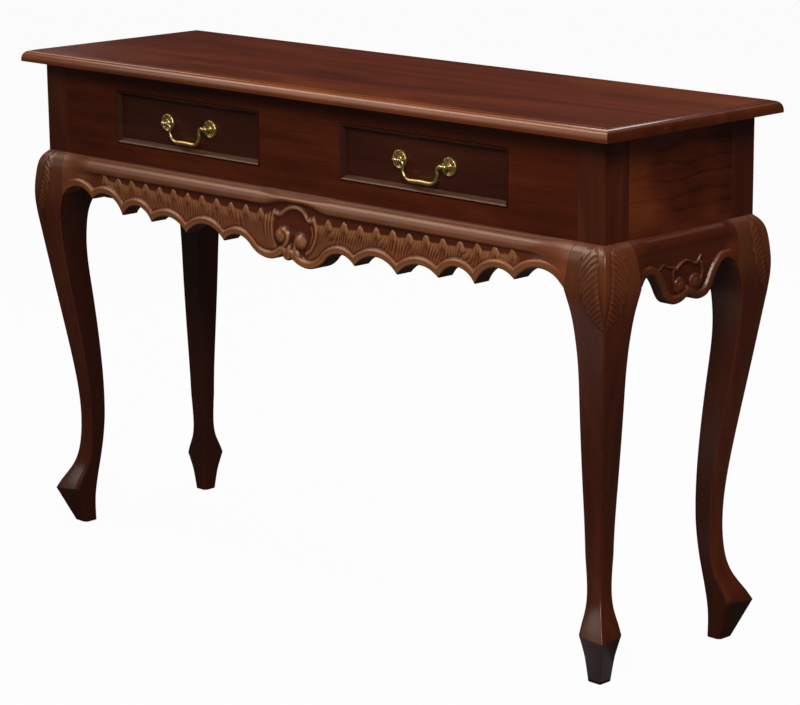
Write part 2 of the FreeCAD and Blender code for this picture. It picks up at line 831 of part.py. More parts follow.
def aprons():
    """Carved front and side aprons, and the plain one at the back."""
    shaped_apron("front_apron", inner_length, half_depth, size.front_apron_drop, FRONT_SCALLOP_SHARES,
                 FRONT_FIRST_RISE_SHARE, FRONT_NOTCH_SHARE, 0, True)
    for name, angle in (("side_apron_right", 90), ("side_apron_left", -90)):
        shaped_apron(name, inner_depth, half_length, size.side_apron_drop, SIDE_SCALLOP_SHARES,
                     SIDE_FIRST_RISE_SHARE, SIDE_NOTCH_SHARE, angle, False)
    low = ledge_height - size.rear_apron_drop
    lean = (size.ear_reach - size.post_size) / (ledge_height - ear_height)
    foot = inner_length - lean * size.rear_apron_drop
    outline = [(-foot, low, 0), (foot, low, 0), (inner_length, ledge_height, 0),
               (-inner_length, ledge_height, 0)]
    plank = prism("rear_apron_plank", "XZ_Plane", outline, -half_depth, size.panel_thickness)
    tenons = []
    for end in SIDES.values():
        block = apron_tenon(inner_length, half_depth, end)
        tenons.append(Block(block.x, tenon_y["rear"], block.z).add(f"rear_apron_tenon_{end}"))
    finished("rear_apron", fused("rear_apron_joined", [plank, *tenons]))


# Inside the carcase
def inner_frame():
    """Runners with guides, kickers, stops, fixing blocks, screws and glue blocks."""
    depth = (front_inside, rear_inside)
    stops = []
    for side, inner in RUNNERS:
        shelf, guide = runner_edges(side, inner)
        name = f"drawer_runner_{'left' if side < 0 else 'right'}_{'inner' if inner else 'outer'}"
        low = opening_low - size.runner_height
        tenons = [Block(guide, depth, (low, opening_low + size.guide_height))]
        tenons += [runner_stub(side, inner, y) for y in (FRONT_STUB_Y, REAR_STUB_Y)]
        board(name, Block(shelf, depth, (low, opening_low)), tenons)
        edge = shelf[0] if (inner == (side > 0)) else shelf[1] - size.drawer_side_thickness
        x = (edge, edge + size.drawer_side_thickness)
        y = (rear_inside - size.stop_length, rear_inside)
        stops.append(Block(x, y, (opening_low, opening_low + size.stop_height)).add(f"stop_{len(stops)}"))
    finished("drawer_stops", grouped("stops", stops))
    for name, side in SIDES.items():
        z = (opening_high, opening_high + size.kicker_thickness)
        core = Block(about(side * drawer_middle, size.kicker_width), depth, z)
        board(f"drawer_kicker_{name}", core, [kicker_stub(side, y) for y in (FRONT_STUB_Y, REAR_STUB_Y)])
    fixings()
    glue_blocks()


def fixings():
    """Blocks that hold the top down, and their countersunk screws."""
    blocks = []
    screws = []
    low = post_top - size.block_size
    for index, (x0, x1, y0, y1) in enumerate(fixing_places()):
        x = (x0 + x1) / 2
        y = (y0 + y1) / 2
        block = Block((x0, x1), (y0, y1), (low, post_top)).add(f"fixing_{index}")
        tools = []
        for role, fit in (("bore", size.joint_fit), ("screw", 0)):
            reach = size.block_size + size.screw_bite
            shank = rod(f"{role}_shank_{index}", size.screw_radius + fit, reach, x, y, low, (0, 0, 1))
            head = doc.addObject("Part::Cone", f"{role}_head_{index}")
            bind(head, Radius1=size.screw_head_radius + fit, Radius2=size.screw_radius + fit,
                 Height=size.screw_head_height)
            place(head, x, y, low)
            pair = fused(f"{role}_{index}", [shank, head])
            if role == "bore":
                tools.append(pair)
            else:
                screws.append(pair)
        blocks.append(cut(f"fixing_bored_{index}", block, tools))
    finished("top_fixing_blocks", grouped("fixing_group", blocks))
    finished("top_fixing_screws", grouped("screw_group", screws))


def glue_blocks():
    """Blocks glued behind the aprons."""
    blocks = []
    high = ledge_height
    low = high - size.block_size
    back = size.apron_back_inset
    for share in GLUE_SHARES:
        x = about(inner_length * share, size.block_length)
        front = (-half_depth + back, -half_depth + back + size.block_size)
        blocks.append(Block(x, front, (low, high)).add(f"glue_front_{len(blocks)}"))
        rear = (rear_inside - size.block_size, rear_inside)
        z = (low, high + size.tenon_shoulder)
        blocks.append(Block(x, rear, z).add(f"glue_rear_{len(blocks)}"))
    for side in SIDES.values():
        x = sided(side, half_length - back - size.block_size, half_length - back)
        y = about(0, size.block_length)
        blocks.append(Block(x, y, (low, high)).add(f"glue_side_{len(blocks)}"))
    finished("apron_glue_blocks", grouped("glue_group", blocks))


# Drawers
def recess(name, x, z):
    """What is cut out of a drawer front: a sunk panel with a bevel mitred round it."""
    inset = size.lip_width
    ramp = inset + size.bevel_width
    front = drawer_face - size.overrun
    sunk = drawer_face + size.bevel_depth

    def section(edges, turn):
        low, high = edges
        path = [(low + inset, front, 0), (low + inset, drawer_face, turn * BEVEL_BULGE_SHARE),
                (low + ramp, sunk, 0), (low + ramp, panel_face, 0), (high - ramp, panel_face, 0),
                (high - ramp, sunk, turn * BEVEL_BULGE_SHARE), (high - inset, drawer_face, 0),
                (high - inset, front, 0)]
        return path

    tall = [(depth, along, bulge) for along, depth, bulge in section(z, 1)]
    upright = prism(name + "_tall", "YZ_Plane", tall, x[0], x[1] - x[0])
    level = prism(name + "_wide", "XY_Plane", section(x, -1), z[0], z[1] - z[0])
    return overlap(name, upright, level)


def tail_places():
    """Half heights at tip and root, and middles, of the dovetails along a drawer side."""
    pitch = (side_high - side_low) / TAIL_COUNT
    middles = [side_low + pitch * (2 * index + 1) / 2 for index in range(TAIL_COUNT)]
    return pitch * TAIL_TIP_SHARE, pitch * TAIL_ROOT_SHARE, middles


def tails(name, x, fit):
    """Dovetails of one drawer side, grown by a fit when they are sockets."""
    tip, root, middles = tail_places()
    y = (drawer_front_back - size.tail_length - fit, drawer_front_back)
    edges = (x[0] - fit, x[1] + fit)
    return [
        wedge(f"{name}_{index}", edges, y, about(middle, tip + 2 * fit), about(middle, root + 2 * fit))
        for index, middle in enumerate(middles)
    ]


def drawer(label, side):
    """One drawer: dovetailed front and sides, back in dados, bottom in grooves."""
    name = f"{label}_drawer"
    middle = side * drawer_middle
    x = about(middle, opening_width - 2 * size.drawer_gap)
    z = (opening_low + size.drawer_gap, opening_high - size.drawer_gap)
    thin = size.drawer_side_thickness
    walls = {"left": (x[0], x[0] + thin), "right": (x[1] - thin, x[1])}
    inside = (walls["left"][1], walls["right"][0])
    floor_low = side_low + size.drawer_bottom_rise
    floor_high = floor_low + size.drawer_bottom_thickness
    reach = size.groove_depth - size.joint_fit
    floor = Block((inside[0] - reach, inside[1] + reach), (drawer_front_back - reach, drawer_rear),
                  (floor_low, floor_high))
    back_y = (drawer_rear - size.drawer_back_inset - thin, drawer_rear - size.drawer_back_inset)
    back = Block((inside[0] - size.dado_depth, inside[1] + size.dado_depth), back_y,
                 (floor_high + size.joint_fit, side_high - size.drawer_side_drop))
    sockets = []
    for wall, edges in walls.items():
        sockets += tails(f"{name}_socket_{wall}", edges, size.joint_fit)
        plank = Block(edges, (drawer_front_back, drawer_rear), (side_low, side_high))
        stock = plank.add(f"{name}_{wall}_stock")
        joined = fused(f"{name}_{wall}_tailed", [stock, *tails(f"{name}_tail_{wall}", edges, 0)])
        slots = [floor.grown(size.joint_fit).add(f"{name}_{wall}_groove"),
                 back.grown(size.joint_fit).add(f"{name}_{wall}_dado")]
        finished(f"{name}_side_{wall}", cut(f"{name}_{wall}_slotted", joined, slots))
    finished(f"{name}_back", back.add(f"{name}_back_board"))
    finished(f"{name}_bottom", floor.add(f"{name}_floor"))
    stock = Block(x, (drawer_face, drawer_front_back), z).add(f"{name}_front_stock")
    groove = floor.grown(size.joint_fit).add(f"{name}_front_groove")
    tools = [recess(f"{name}_recess", x, z), groove, *sockets]
    bore = size.post_radius + size.joint_fit
    for end in SIDES.values():
        mouth = (middle + end * size.handle_spacing / 2, panel_face - size.overrun, pivot_z)
        tools.append(rod(f"{name}_bore_{end}", bore, size.front_thickness, *mouth, (0, 1, 0)))
    finished(f"{name}_front", cut(f"{name}_front_cut", stock, tools))
    handle(label, middle)


# Drawer handles
def handle(label, middle):
    """A bail handle: two rosettes, two posts with nuts, and the bail that hangs between them."""
    rosettes = []
    posts = []
    nuts = []
    bore = size.post_radius + size.joint_fit
    wall = drawer_front_back - panel_face
    for end in SIDES.values():
        x = middle + end * size.handle_spacing / 2
        rosettes.append(place(rosette(f"{label}_rosette_{end}", bore), x, panel_face, pivot_z))
        reach = size.pivot_reach + wall + size.nut_height + size.post_radius
        shank = rod(f"{label}_shank_{end}", size.post_radius, reach, x, pivot_y, pivot_z, (0, 1, 0))
        ball = doc.addObject("Part::Sphere", f"{label}_ball_{end}")
        bind(ball, Radius=size.ball_radius)
        place(ball, x, pivot_y, pivot_z)
        hole = size.bail_pin_radius + size.bail_pin_clearance
        eye = rod(f"{label}_eye_{end}", hole, 4 * size.ball_radius,
                  x - 2 * size.ball_radius, pivot_y, pivot_z, (1, 0, 0))
        posts.append(cut(f"{label}_post_{end}", fused(f"{label}_post_stock_{end}", [shank, ball]), [eye]))
        nut = doc.addObject("Part::Prism", f"{label}_nut_stock_{end}")
        nut.Polygon = NUT_SIDES
        bind(nut, Circumradius=size.nut_radius, Height=size.nut_height)
        inward = FreeCAD.Rotation(FreeCAD.Vector(0, 0, 1), FreeCAD.Vector(0, 1, 0))
        seat = (x, drawer_front_back, pivot_z)
        place(nut, *seat, inward)
        thread = rod(f"{label}_nut_hole_{end}", bore, 2 * size.nut_height, *seat, (0, 1, 0))
        nuts.append(cut(f"{label}_nut_{end}", nut, [thread]))
    finished(f"{label}_handle_rosettes", grouped(f"{label}_rosettes", rosettes))
    finished(f"{label}_handle_posts", grouped(f"{label}_posts", posts))
    finished(f"{label}_handle_nuts", grouped(f"{label}_nuts", nuts))
    finished(f"{label}_bail", bail(label, middle))


def rosette(name, bore):
    """A dished round back plate with a raised boss in the middle."""
    rim = size.rosette_radius
    crest = rim - size.rosette_rim
    high = -size.rosette_height
    low = -size.rosette_edge
    return turned(name, [
        (bore, 0, 0),
        (rim, 0, 0),
        (rim, low, QUARTER_ROUND_SHARE),
        (crest, high, 0),
        (size.rosette_boss_radius, low, 0),
        (size.rosette_boss_radius / 2 + bore / 2, high, 0),
        (bore, high, 0),
    ])


def bail(label, middle):
    """The swinging loop: pins in the posts, collars, arms and a swelling grip."""
    body = doc.addObject("PartDesign::Body", f"{label}_bail_wire")
    arm = size.handle_spacing / 2 - size.bail_arm_inset
    bend = size.bail_shoulder_radius
    corner = size.bail_corner_radius
    drop = size.bail_drop
    tip = size.handle_spacing / 2 - size.ball_radius
    half = [
        (-tip, 0, 0),
        (-(arm + bend), 0, QUARTER_ROUND_SHARE),
        (-arm, -bend, 0),
        (-arm, corner - drop, -QUARTER_ROUND_SHARE),
        (corner - arm, -drop, 0),
    ]
    far = [
        (arm - corner, -drop, -QUARTER_ROUND_SHARE),
        (arm, corner - drop, 0),
        (arm, -bend, QUARTER_ROUND_SHARE),
        (arm + bend, 0, 0),
        (tip, 0, 0),
    ]
    spine = drawn(body, "XZ_Plane", half + far, 0, closed=False)
    ring = drawn_circle(body, "YZ_Plane", size.bail_wire_radius, -tip)
    wire = body.newObject("PartDesign::AdditivePipe", f"{label}_bail_pipe")
    wire.Profile = ring
    wire.Spine = (spine, [])
    body.Tip = wire
    grip = swell(f"{label}_grip", size.bail_grip_length / 2, size.bail_grip_radius, 0, -drop)
    pieces = [body, grip]
    for end in SIDES.values():
        reach = size.bail_collar_length / 2
        collar = end * (tip - reach - size.running_clearance)
        pieces.append(swell(f"{label}_collar_{end}", reach, size.bail_collar_radius, collar, 0))
        inner = tip - size.bail_wire_radius
        outer = size.handle_spacing / 2 + size.ball_radius + size.bail_pin_overhang
        low, _ = sided(end, inner, outer)
        pieces.append(rod(f"{label}_pin_{end}", size.bail_pin_radius, outer - inner, low, 0, 0, (1, 0, 0)))
    return place(fused(f"{label}_bail_joined", pieces), middle, pivot_y, pivot_z)


def drawn_circle(body, role, radius, start):
    """A circle on a plane of the body, centred on its origin."""
    plane = next(item for item in body.Origin.OriginFeatures if item.Role == role)
    sketch = body.newObject("Sketcher::SketchObject", body.Name + "_ring")
    sketch.AttachmentSupport = [(plane, "")]
    sketch.MapMode = "FlatFace"
    bind(sketch, AttachmentOffset__Base__z=start)
    sketch.addGeometry(Part.Circle(FreeCAD.Vector(), FreeCAD.Vector(0, 0, 1), radius.value))
    sketch.addConstraint(Sketcher.Constraint("Coincident", 0, 3, -1, 1))
    sketch.addConstraint(Sketcher.Constraint("Radius", 0, radius.value))
    sketch.setExpression("Constraints[1]", radius.text)
    return sketch


def swell(name, reach, radius, x, z):
    """A thickening of the wire along X, turned from an arc that starts and ends inside the wire."""
    root = size.bail_pin_radius
    bulb = turned(name, [(0, -reach, 0), (root, -reach, root - radius), (root, reach, 0), (0, reach, 0)])
    return place(bulb, x, 0, z, FreeCAD.Rotation(FreeCAD.Vector(0, 1, 0), FreeCAD.Vector(1, 0, 0)))


def build():
    """Builds every sub-part, checks them and writes their files."""
    table_top()
    legs()
    carcase()
    aprons()
    inner_frame()
    for label, side in SIDES.items():
        drawer(label, side)
    doc.recompute()
    for thing in doc.Objects:
        assert not {"Invalid", "Error"} & set(thing.State), f"{thing.Label}: {thing.State}"
    for piece in sub_parts:
        shape = piece.Shape
        assert not shape.isNull() and shape.isValid() and shape.Solids, f"{piece.Label}: bad shape"
    os.makedirs("parts", exist_ok=True)
    for piece in sub_parts:
        piece.Shape.exportStep(os.path.join("parts", piece.Label + ".step"))
        print(piece.Label, len(piece.Shape.Solids), round(piece.Shape.Volume))


build()
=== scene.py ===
"""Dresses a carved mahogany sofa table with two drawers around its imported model.

Lengths are in millimetres until a mesh is made, which is in metres. The front of the table faces -Y.
"""

import json
import logging
import math
from dataclasses import dataclass
from enum import Enum
from typing import Callable, Iterable, Mapping, Sequence

import bmesh
import bpy
import numpy as np
from mathutils import Matrix, Vector

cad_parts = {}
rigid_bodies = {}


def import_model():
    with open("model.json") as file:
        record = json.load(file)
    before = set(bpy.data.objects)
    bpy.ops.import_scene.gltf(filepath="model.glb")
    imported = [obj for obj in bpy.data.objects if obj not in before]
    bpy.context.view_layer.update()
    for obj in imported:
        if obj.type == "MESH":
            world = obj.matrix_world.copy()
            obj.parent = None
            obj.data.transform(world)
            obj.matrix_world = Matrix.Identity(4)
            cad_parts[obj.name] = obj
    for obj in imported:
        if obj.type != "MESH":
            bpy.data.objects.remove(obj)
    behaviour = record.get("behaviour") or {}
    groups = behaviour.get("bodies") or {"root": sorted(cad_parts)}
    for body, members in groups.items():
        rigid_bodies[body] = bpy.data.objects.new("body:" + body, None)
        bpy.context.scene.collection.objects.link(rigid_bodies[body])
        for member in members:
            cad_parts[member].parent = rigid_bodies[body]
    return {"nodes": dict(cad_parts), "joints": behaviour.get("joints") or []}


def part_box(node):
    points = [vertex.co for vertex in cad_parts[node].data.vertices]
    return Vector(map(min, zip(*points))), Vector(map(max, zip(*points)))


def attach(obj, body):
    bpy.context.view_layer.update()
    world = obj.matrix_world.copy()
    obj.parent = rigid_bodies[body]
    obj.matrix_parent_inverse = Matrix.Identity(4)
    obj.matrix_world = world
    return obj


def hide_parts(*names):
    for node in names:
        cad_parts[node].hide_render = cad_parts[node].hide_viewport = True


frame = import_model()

LOG = logging.getLogger("sofa_table")
MM = 0.001

# Places that several pieces share
LEDGE = 636.0
HALF_LENGTH = 606.0
HALF_DEPTH = 161.0
POST = 50.0
POST_TOP = 779.0
EAR = 570.0
EAR_REACH = 56.0

Points = Sequence[Sequence[float]]
Colour = tuple[float, float, float]


class Grain(Enum):
    """The way that the grain of a board runs."""

    LENGTH = 0
    DEPTH = 1
    HEIGHT = 2


class Place(Enum):
    """The part of a leg that a column of its sheet lies on."""

    CORNER = 0
    LONG_FACE = 1
    END_FACE = 2
    INNER = 3


class Side(Enum):
    """The side of the table that an apron closes."""

    FRONT = "front_apron"
    RIGHT = "side_apron_right"
    LEFT = "side_apron_left"


# Curves and fields


def eased(value: np.ndarray | float) -> np.ndarray:
    """A ramp from 0 to 1 with soft ends."""
    share = np.clip(value, 0.0, 1.0)
    return share * share * (3 - 2 * share)


def looked_up(table: Points, place: np.ndarray) -> np.ndarray:
    """The second column of a table at places of its first, in straight lines from row to row."""
    rows = np.asarray(table, float)
    return np.interp(place, rows[:, 0], rows[:, 1])


def smooth_line(points: Points, count: int) -> np.ndarray:
    """A smooth line through points.

    Args:
        points: The points that the line passes through.
        count: How many places of the line to give.

    Returns:
        Places at even steps along the line.
    """
    knots = np.asarray(points, float)
    steps = np.linalg.norm(np.diff(knots, axis=0), axis=1)
    along = np.concatenate([[0.0], np.cumsum(steps)])
    size = len(knots)
    system = np.eye(size)
    right = np.zeros(knots.shape)
    for i in range(1, size - 1):
        system[i, i - 1 : i + 2] = steps[i - 1], 2 * (steps[i - 1] + steps[i]), steps[i]
        right[i] = 6 * ((knots[i + 1] - knots[i]) / steps[i] - (knots[i] - knots[i - 1]) / steps[i - 1])
    bend = np.linalg.solve(system, right)
    where = np.linspace(0, along[-1], count)
    span = np.clip(np.searchsorted(along, where, side="right") - 1, 0, size - 2)
    step = steps[span][:, None]
    left = (along[span + 1] - where)[:, None]
    past = (where - along[span])[:, None]
    curve = (bend[span] * left**3 + bend[span + 1] * past**3) / (6 * step)
    curve += (knots[span] / step - bend[span] * step / 6) * left
    return curve + (knots[span + 1] / step - bend[span + 1] * step / 6) * past


def arc_line(corners: Points, step: float) -> np.ndarray:
    """A line of arcs from corner to corner.

    Args:
        corners: Place across, height, and rise of the arc to the next corner as a share of its chord.
        step: The distance between places of the line.

    Returns:
        Places along the line, with each corner among them.
    """
    places = []
    for (x0, z0, rise), (x1, z1, _) in zip(corners[:-1], corners[1:]):
        first, chord = np.array([x0, z0]), np.array([x1 - x0, z1 - z0])
        length = np.linalg.norm(chord)
        count = max(6, int(math.ceil(length / step)))
        share = np.arange(count) / count
        lift = np.zeros(count)
        if rise:
            radius = length * (0.25 + rise * rise) / (2 * abs(rise))
            lift = np.sqrt(radius**2 - (length * (share - 0.5)) ** 2) - (radius - abs(rise) * length)
        across = np.array([-chord[1], chord[0]]) / length * math.copysign(1, rise)
        places.append(first + share[:, None] * chord + lift[:, None] * across)
    return np.vstack([*places, [corners[-1][:2]]])


def blurred(field: np.ndarray, reach: int, rounds: int = 2) -> np.ndarray:
    """A field of heights smoothed along both of its ways.

    Args:
        field: Heights in rows and columns.
        reach: How many neighbours on each side count.
        rounds: How many times to smooth.

    Returns:
        The smoothed heights.
    """
    soft = field
    window = np.ones(2 * reach + 1) / (2 * reach + 1)
    for _ in range(rounds):
        for axis in (0, 1):
            pad = [(reach, reach) if i == axis else (0, 0) for i in (0, 1)]
            wide = np.pad(soft, pad, mode="edge")
            soft = np.apply_along_axis(np.convolve, axis, wide, window, mode="valid")
    return soft


def distance_to(line: np.ndarray, across: np.ndarray, up: np.ndarray) -> tuple[np.ndarray, np.ndarray]:
    """How far places are from a line.

    Args:
        line: Points of the line.
        across: First coordinate of the places.
        up: Second coordinate of the places.

    Returns:
        The distance of each place, and how far along the line its nearest point is, from 0 to 1.
    """
    nearest = np.full(across.shape, np.inf)
    share = np.zeros(across.shape)
    for i, (first, last) in enumerate(zip(line[:-1], line[1:])):
        run = last - first
        part = ((across - first[0]) * run[0] + (up - first[1]) * run[1]) / max(run @ run, 1e-9)
        part = np.clip(part, 0, 1)
        gap = np.hypot(across - first[0] - part * run[0], up - first[1] - part * run[1])
        closer = gap < nearest
        nearest = np.where(closer, gap, nearest)
        share = np.where(closer, (i + part) / (len(line) - 1), share)
    return nearest, share


@dataclass(frozen=True)
class Ridge:
    """A rounded ridge of carving that follows a smooth line.

    Attributes:
        points: The points that it passes through.
        width: Half its width, from its first end to its last.
        height: How far it stands out, from its first end to its last.
    """

    points: Points
    width: tuple[float, float]
    height: tuple[float, float]

    def raise_on(self, relief: np.ndarray, across: np.ndarray, up: np.ndarray, base: float) -> None:
        """Raises the ridge on a field of heights.

        Args:
            relief: The heights, which are changed.
            across: First coordinate of each height.
            up: Second coordinate of each height.
            base: The height that the ridge stands on.
        """
        line = smooth_line(self.points, 12 * len(self.points))
        reach = max(self.width) + 1
        low, high = line.min(axis=0) - reach, line.max(axis=0) + reach
        near = (across > low[0]) & (across < high[0]) & (up > low[1]) & (up < high[1])
        gap, share = distance_to(line, across[near], up[near])
        width = self.width[0] + (self.width[1] - self.width[0]) * share
        height = self.height[0] + (self.height[1] - self.height[0]) * share
        round_part = np.clip(1 - (gap / width) ** 2, 0, 1) ** 0.8
        stood = np.where(gap < width, base + height * round_part, -np.inf)
        relief[near] = np.maximum(relief[near], stood)


@dataclass(frozen=True)
class Oval:
    """An oval on the face of an apron.

    Attributes:
        middle: Place across and height of its middle.
        reach: Half its width and half its height.
    """

    middle: tuple[float, float]
    reach: tuple[float, float]

    def away(self, across: np.ndarray, up: np.ndarray) -> np.ndarray:
        """How far places are from its middle, with 1 on its edge."""
        return np.hypot((across - self.middle[0]) / self.reach[0], (up - self.middle[1]) / self.reach[1])


@dataclass(frozen=True)
class Dome(Oval):
    """A rounded boss of carving.

    Attributes:
        height: How far it stands out.
        power: How full it is, with 0.5 for half an ellipsoid and less for a fuller one.
        groove: Depth, place and width of the groove round it, as shares of its reach but for the depth.
    """

    height: float
    power: float
    groove: tuple[float, float, float] = (0.0, 1.0, 1.0)

    def raise_on(self, relief: np.ndarray, across: np.ndarray, up: np.ndarray, base: float) -> None:
        """Raises the dome on a field of heights.

        Args:
            relief: The heights, which are changed.
            across: First coordinate of each height.
            up: Second coordinate of each height.
            base: The height that the dome stands on.
        """
        away = self.away(across, up)
        near = away < 1
        deep, place, wide = self.groove
        stood = base + self.height * np.clip(1 - away[near] ** 2, 0, 1) ** self.power
        stood = stood - deep * np.exp(-(((away[near] - place) / wide) ** 2))
        relief[near] = np.maximum(relief[near], stood)


# Modelling


def clear_selection() -> None:
    """Deselects every object."""
    for item in bpy.context.view_layer.objects.selected[:]:
        item.select_set(False)


def take(piece: bpy.types.Object) -> None:
    """Makes one piece the only selected and active object."""
    clear_selection()
    piece.select_set(True)
    bpy.context.view_layer.objects.active = piece


class Bench:
    """Holds one piece in edit mode while it is shaped."""

    MERGE_REACH = 1e-6

    def __init__(self, piece: bpy.types.Object) -> None:
        """Remembers the piece."""
        self.piece = piece

    def __enter__(self) -> "Bench":
        """Goes into edit mode with nothing selected."""
        take(self.piece)
        bpy.ops.object.mode_set(mode="EDIT")
        bpy.ops.mesh.select_mode(type="FACE")
        bpy.ops.mesh.select_all(action="DESELECT")
        return self

    def __exit__(self, *_: object) -> None:
        """Goes back to object mode."""
        bpy.ops.object.mode_set(mode="OBJECT")

    def _pick(self, kind: str, test: Callable[[bmesh.types.BMFace | bmesh.types.BMEdge], bool]) -> None:
        """Selects the faces or edges that pass a test, and no others."""
        bpy.ops.mesh.select_mode(type=kind)
        bpy.ops.mesh.select_all(action="DESELECT")
        mesh = bmesh.from_edit_mesh(self.piece.data)
        for part in mesh.faces if kind == "FACE" else mesh.edges:
            part.select_set(bool(test(part)))
        mesh.select_flush_mode()
        bmesh.update_edit_mesh(self.piece.data)

    def pick(self, test: Callable[[bmesh.types.BMFace], bool]) -> None:
        """Selects the faces that pass a test, and no others."""
        self._pick("FACE", test)

    def pick_edges(self, test: Callable[[bmesh.types.BMEdge], bool]) -> None:
        """Selects the edges that pass a test, and no others."""
        self._pick("EDGE", test)

    def step(self, inward: float, outward: float) -> None:
        """Insets the selected face and moves it along its normal, in millimetres."""
        bpy.ops.mesh.inset(thickness=inward * MM, depth=outward * MM, use_even_offset=True)

    def close_back(self, axis: int, plane: float) -> None:
        """Runs the open edge straight back to a plane and fills it there.

        Args:
            axis: The axis that the plane crosses.
            plane: The place of the plane, in millimetres.
        """
        bpy.ops.mesh.select_mode(type="EDGE")
        bpy.ops.mesh.select_all(action="DESELECT")
        bpy.ops.mesh.select_non_manifold()
        bpy.ops.mesh.extrude_region_move(TRANSFORM_OT_translate={"value": (0, 0, 0)})
        flat = [0.0 if i == axis else 1.0 for i in range(3)]
        centre = [plane * MM if i == axis else 0.0 for i in range(3)]
        bpy.ops.transform.resize(value=flat, center_override=centre)
        bpy.ops.mesh.edge_face_add()
        self.face_outwards()

    def merge(self) -> None:
        """Merges the points that meet."""
        bpy.ops.mesh.select_all(action="SELECT")
        bpy.ops.mesh.remove_doubles(threshold=self.MERGE_REACH)

    def join_seam(self) -> None:
        """Merges the edges that meet, fills the open ends and turns all faces outwards."""
        self.merge()
        bpy.ops.mesh.fill_holes(sides=0)
        self.face_outwards()

    def face_outwards(self) -> None:
        """Turns all faces outwards."""
        bpy.ops.mesh.select_all(action="SELECT")
        bpy.ops.mesh.normals_make_consistent(inside=False)


def block(name: str, low: Sequence[float], high: Sequence[float]) -> bpy.types.Object:
    """A rectangular blank that a piece is shaped from.

    Args:
        name: Name of the piece.
        low: Lowest corner, in millimetres.
        high: Highest corner, in millimetres.

    Returns:
        The blank, with its place in its mesh.
    """
    clear_selection()
    middle = [(a + b) / 2 * MM for a, b in zip(low, high)]
    size = [(b - a) * MM for a, b in zip(low, high)]
    bpy.ops.mesh.primitive_cube_add(size=1, location=middle, scale=size)
    made = bpy.context.active_object
    made.name = made.data.name = name
    bpy.ops.object.transform_apply(location=True, rotation=True, scale=True)
    return made


def sheet(name: str, places: np.ndarray, relief: np.ndarray | None = None) -> bpy.types.Object:
    """A grid whose points are moved to given places.

    Args:
        name: Name of the piece.
        places: Rows and columns of places, in millimetres.
        relief: How light or dark each place is marked, from -1 to 1, by its height above its surroundings
            and on some pieces by painted light and shade.

    Returns:
        The open sheet.
    """
    rows, columns, _ = places.shape
    clear_selection()
    bpy.ops.mesh.primitive_grid_add(x_subdivisions=columns - 1, y_subdivisions=rows - 1, size=1)
    made = bpy.context.active_object
    made.name = made.data.name = name
    made.data.vertices.foreach_set("co", (places * MM).astype(np.float32).ravel())
    if relief is not None:
        layer = made.data.attributes.new("relief", "FLOAT", "POINT")
        layer.data.foreach_set("value", relief.astype(np.float32).ravel())
    made.data.update()
    return made


def mark_stain_and_light(piece: bpy.types.Object, stain_and_light: Callable[[bpy.types.MeshPolygon], float]) -> None:
    """Marks how light or dark each face is, by its stain or by painted light and shade.

    Args:
        piece: The shaped piece.
        stain_and_light: How light or dark a face is, from -1 for dark to 1 for light.
    """
    layer = piece.data.attributes.new("relief", "FLOAT", "FACE")
    layer.data.foreach_set("value", [stain_and_light(face) for face in piece.data.polygons])


def finish_piece(piece: bpy.types.Object, body: str, nodes: Iterable[str],
                 material: bpy.types.Material, angle: float = 35.0) -> None:
    """Gives a piece its finish and its place in the frame.

    Args:
        piece: The shaped piece.
        body: The body that it rides on.
        nodes: The nodes that it stands for.
        material: Its finish.
        angle: Edges sharper than this stay sharp, in degrees.
    """
    piece.data.materials.clear()
    piece.data.materials.append(material)
    take(piece)
    bpy.ops.object.shade_smooth_by_angle(angle=math.radians(angle))
    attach(piece, body)
    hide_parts(*nodes)
    LOG.info("%s on %s, %d faces", piece.name, body, len(piece.data.polygons))


# Finishes


class Value:
    """A number socket that adds Math nodes when it is used in an expression."""

    def __init__(self, nodes: "Nodes", socket: bpy.types.NodeSocket) -> None:
        """Wraps a socket of a node tree."""
        self.nodes = nodes
        self.socket = socket

    def _math(self, operation: str, first: "Value | float", second: "Value | float",
              clamp: bool = False) -> "Value":
        """Adds one Math node and gives its result."""
        settings = {"operation": operation, "use_clamp": clamp}
        made = self.nodes.add("ShaderNodeMath", settings, {0: first, 1: second})
        return Value(self.nodes, made.outputs[0])

    def __add__(self, other: "Value | float") -> "Value":
        """This plus another."""
        return self._math("ADD", self, other)

    def __radd__(self, other: float) -> "Value":
        """A number plus this."""
        return self._math("ADD", other, self)

    def __sub__(self, other: "Value | float") -> "Value":
        """This less another."""
        return self._math("SUBTRACT", self, other)

    def __rsub__(self, other: float) -> "Value":
        """A number less this."""
        return self._math("SUBTRACT", other, self)

    def __mul__(self, other: "Value | float") -> "Value":
        """This times another."""
        return self._math("MULTIPLY", self, other)

    def __rmul__(self, other: float) -> "Value":
        """A number times this."""
        return self._math("MULTIPLY", other, self)

    def __neg__(self) -> "Value":
        """This with its sign turned."""
        return self._math("MULTIPLY", self, -1.0)

    def held(self) -> "Value":
        """This, held between 0 and 1."""
        return self._math("ADD", self, 0.0, clamp=True)


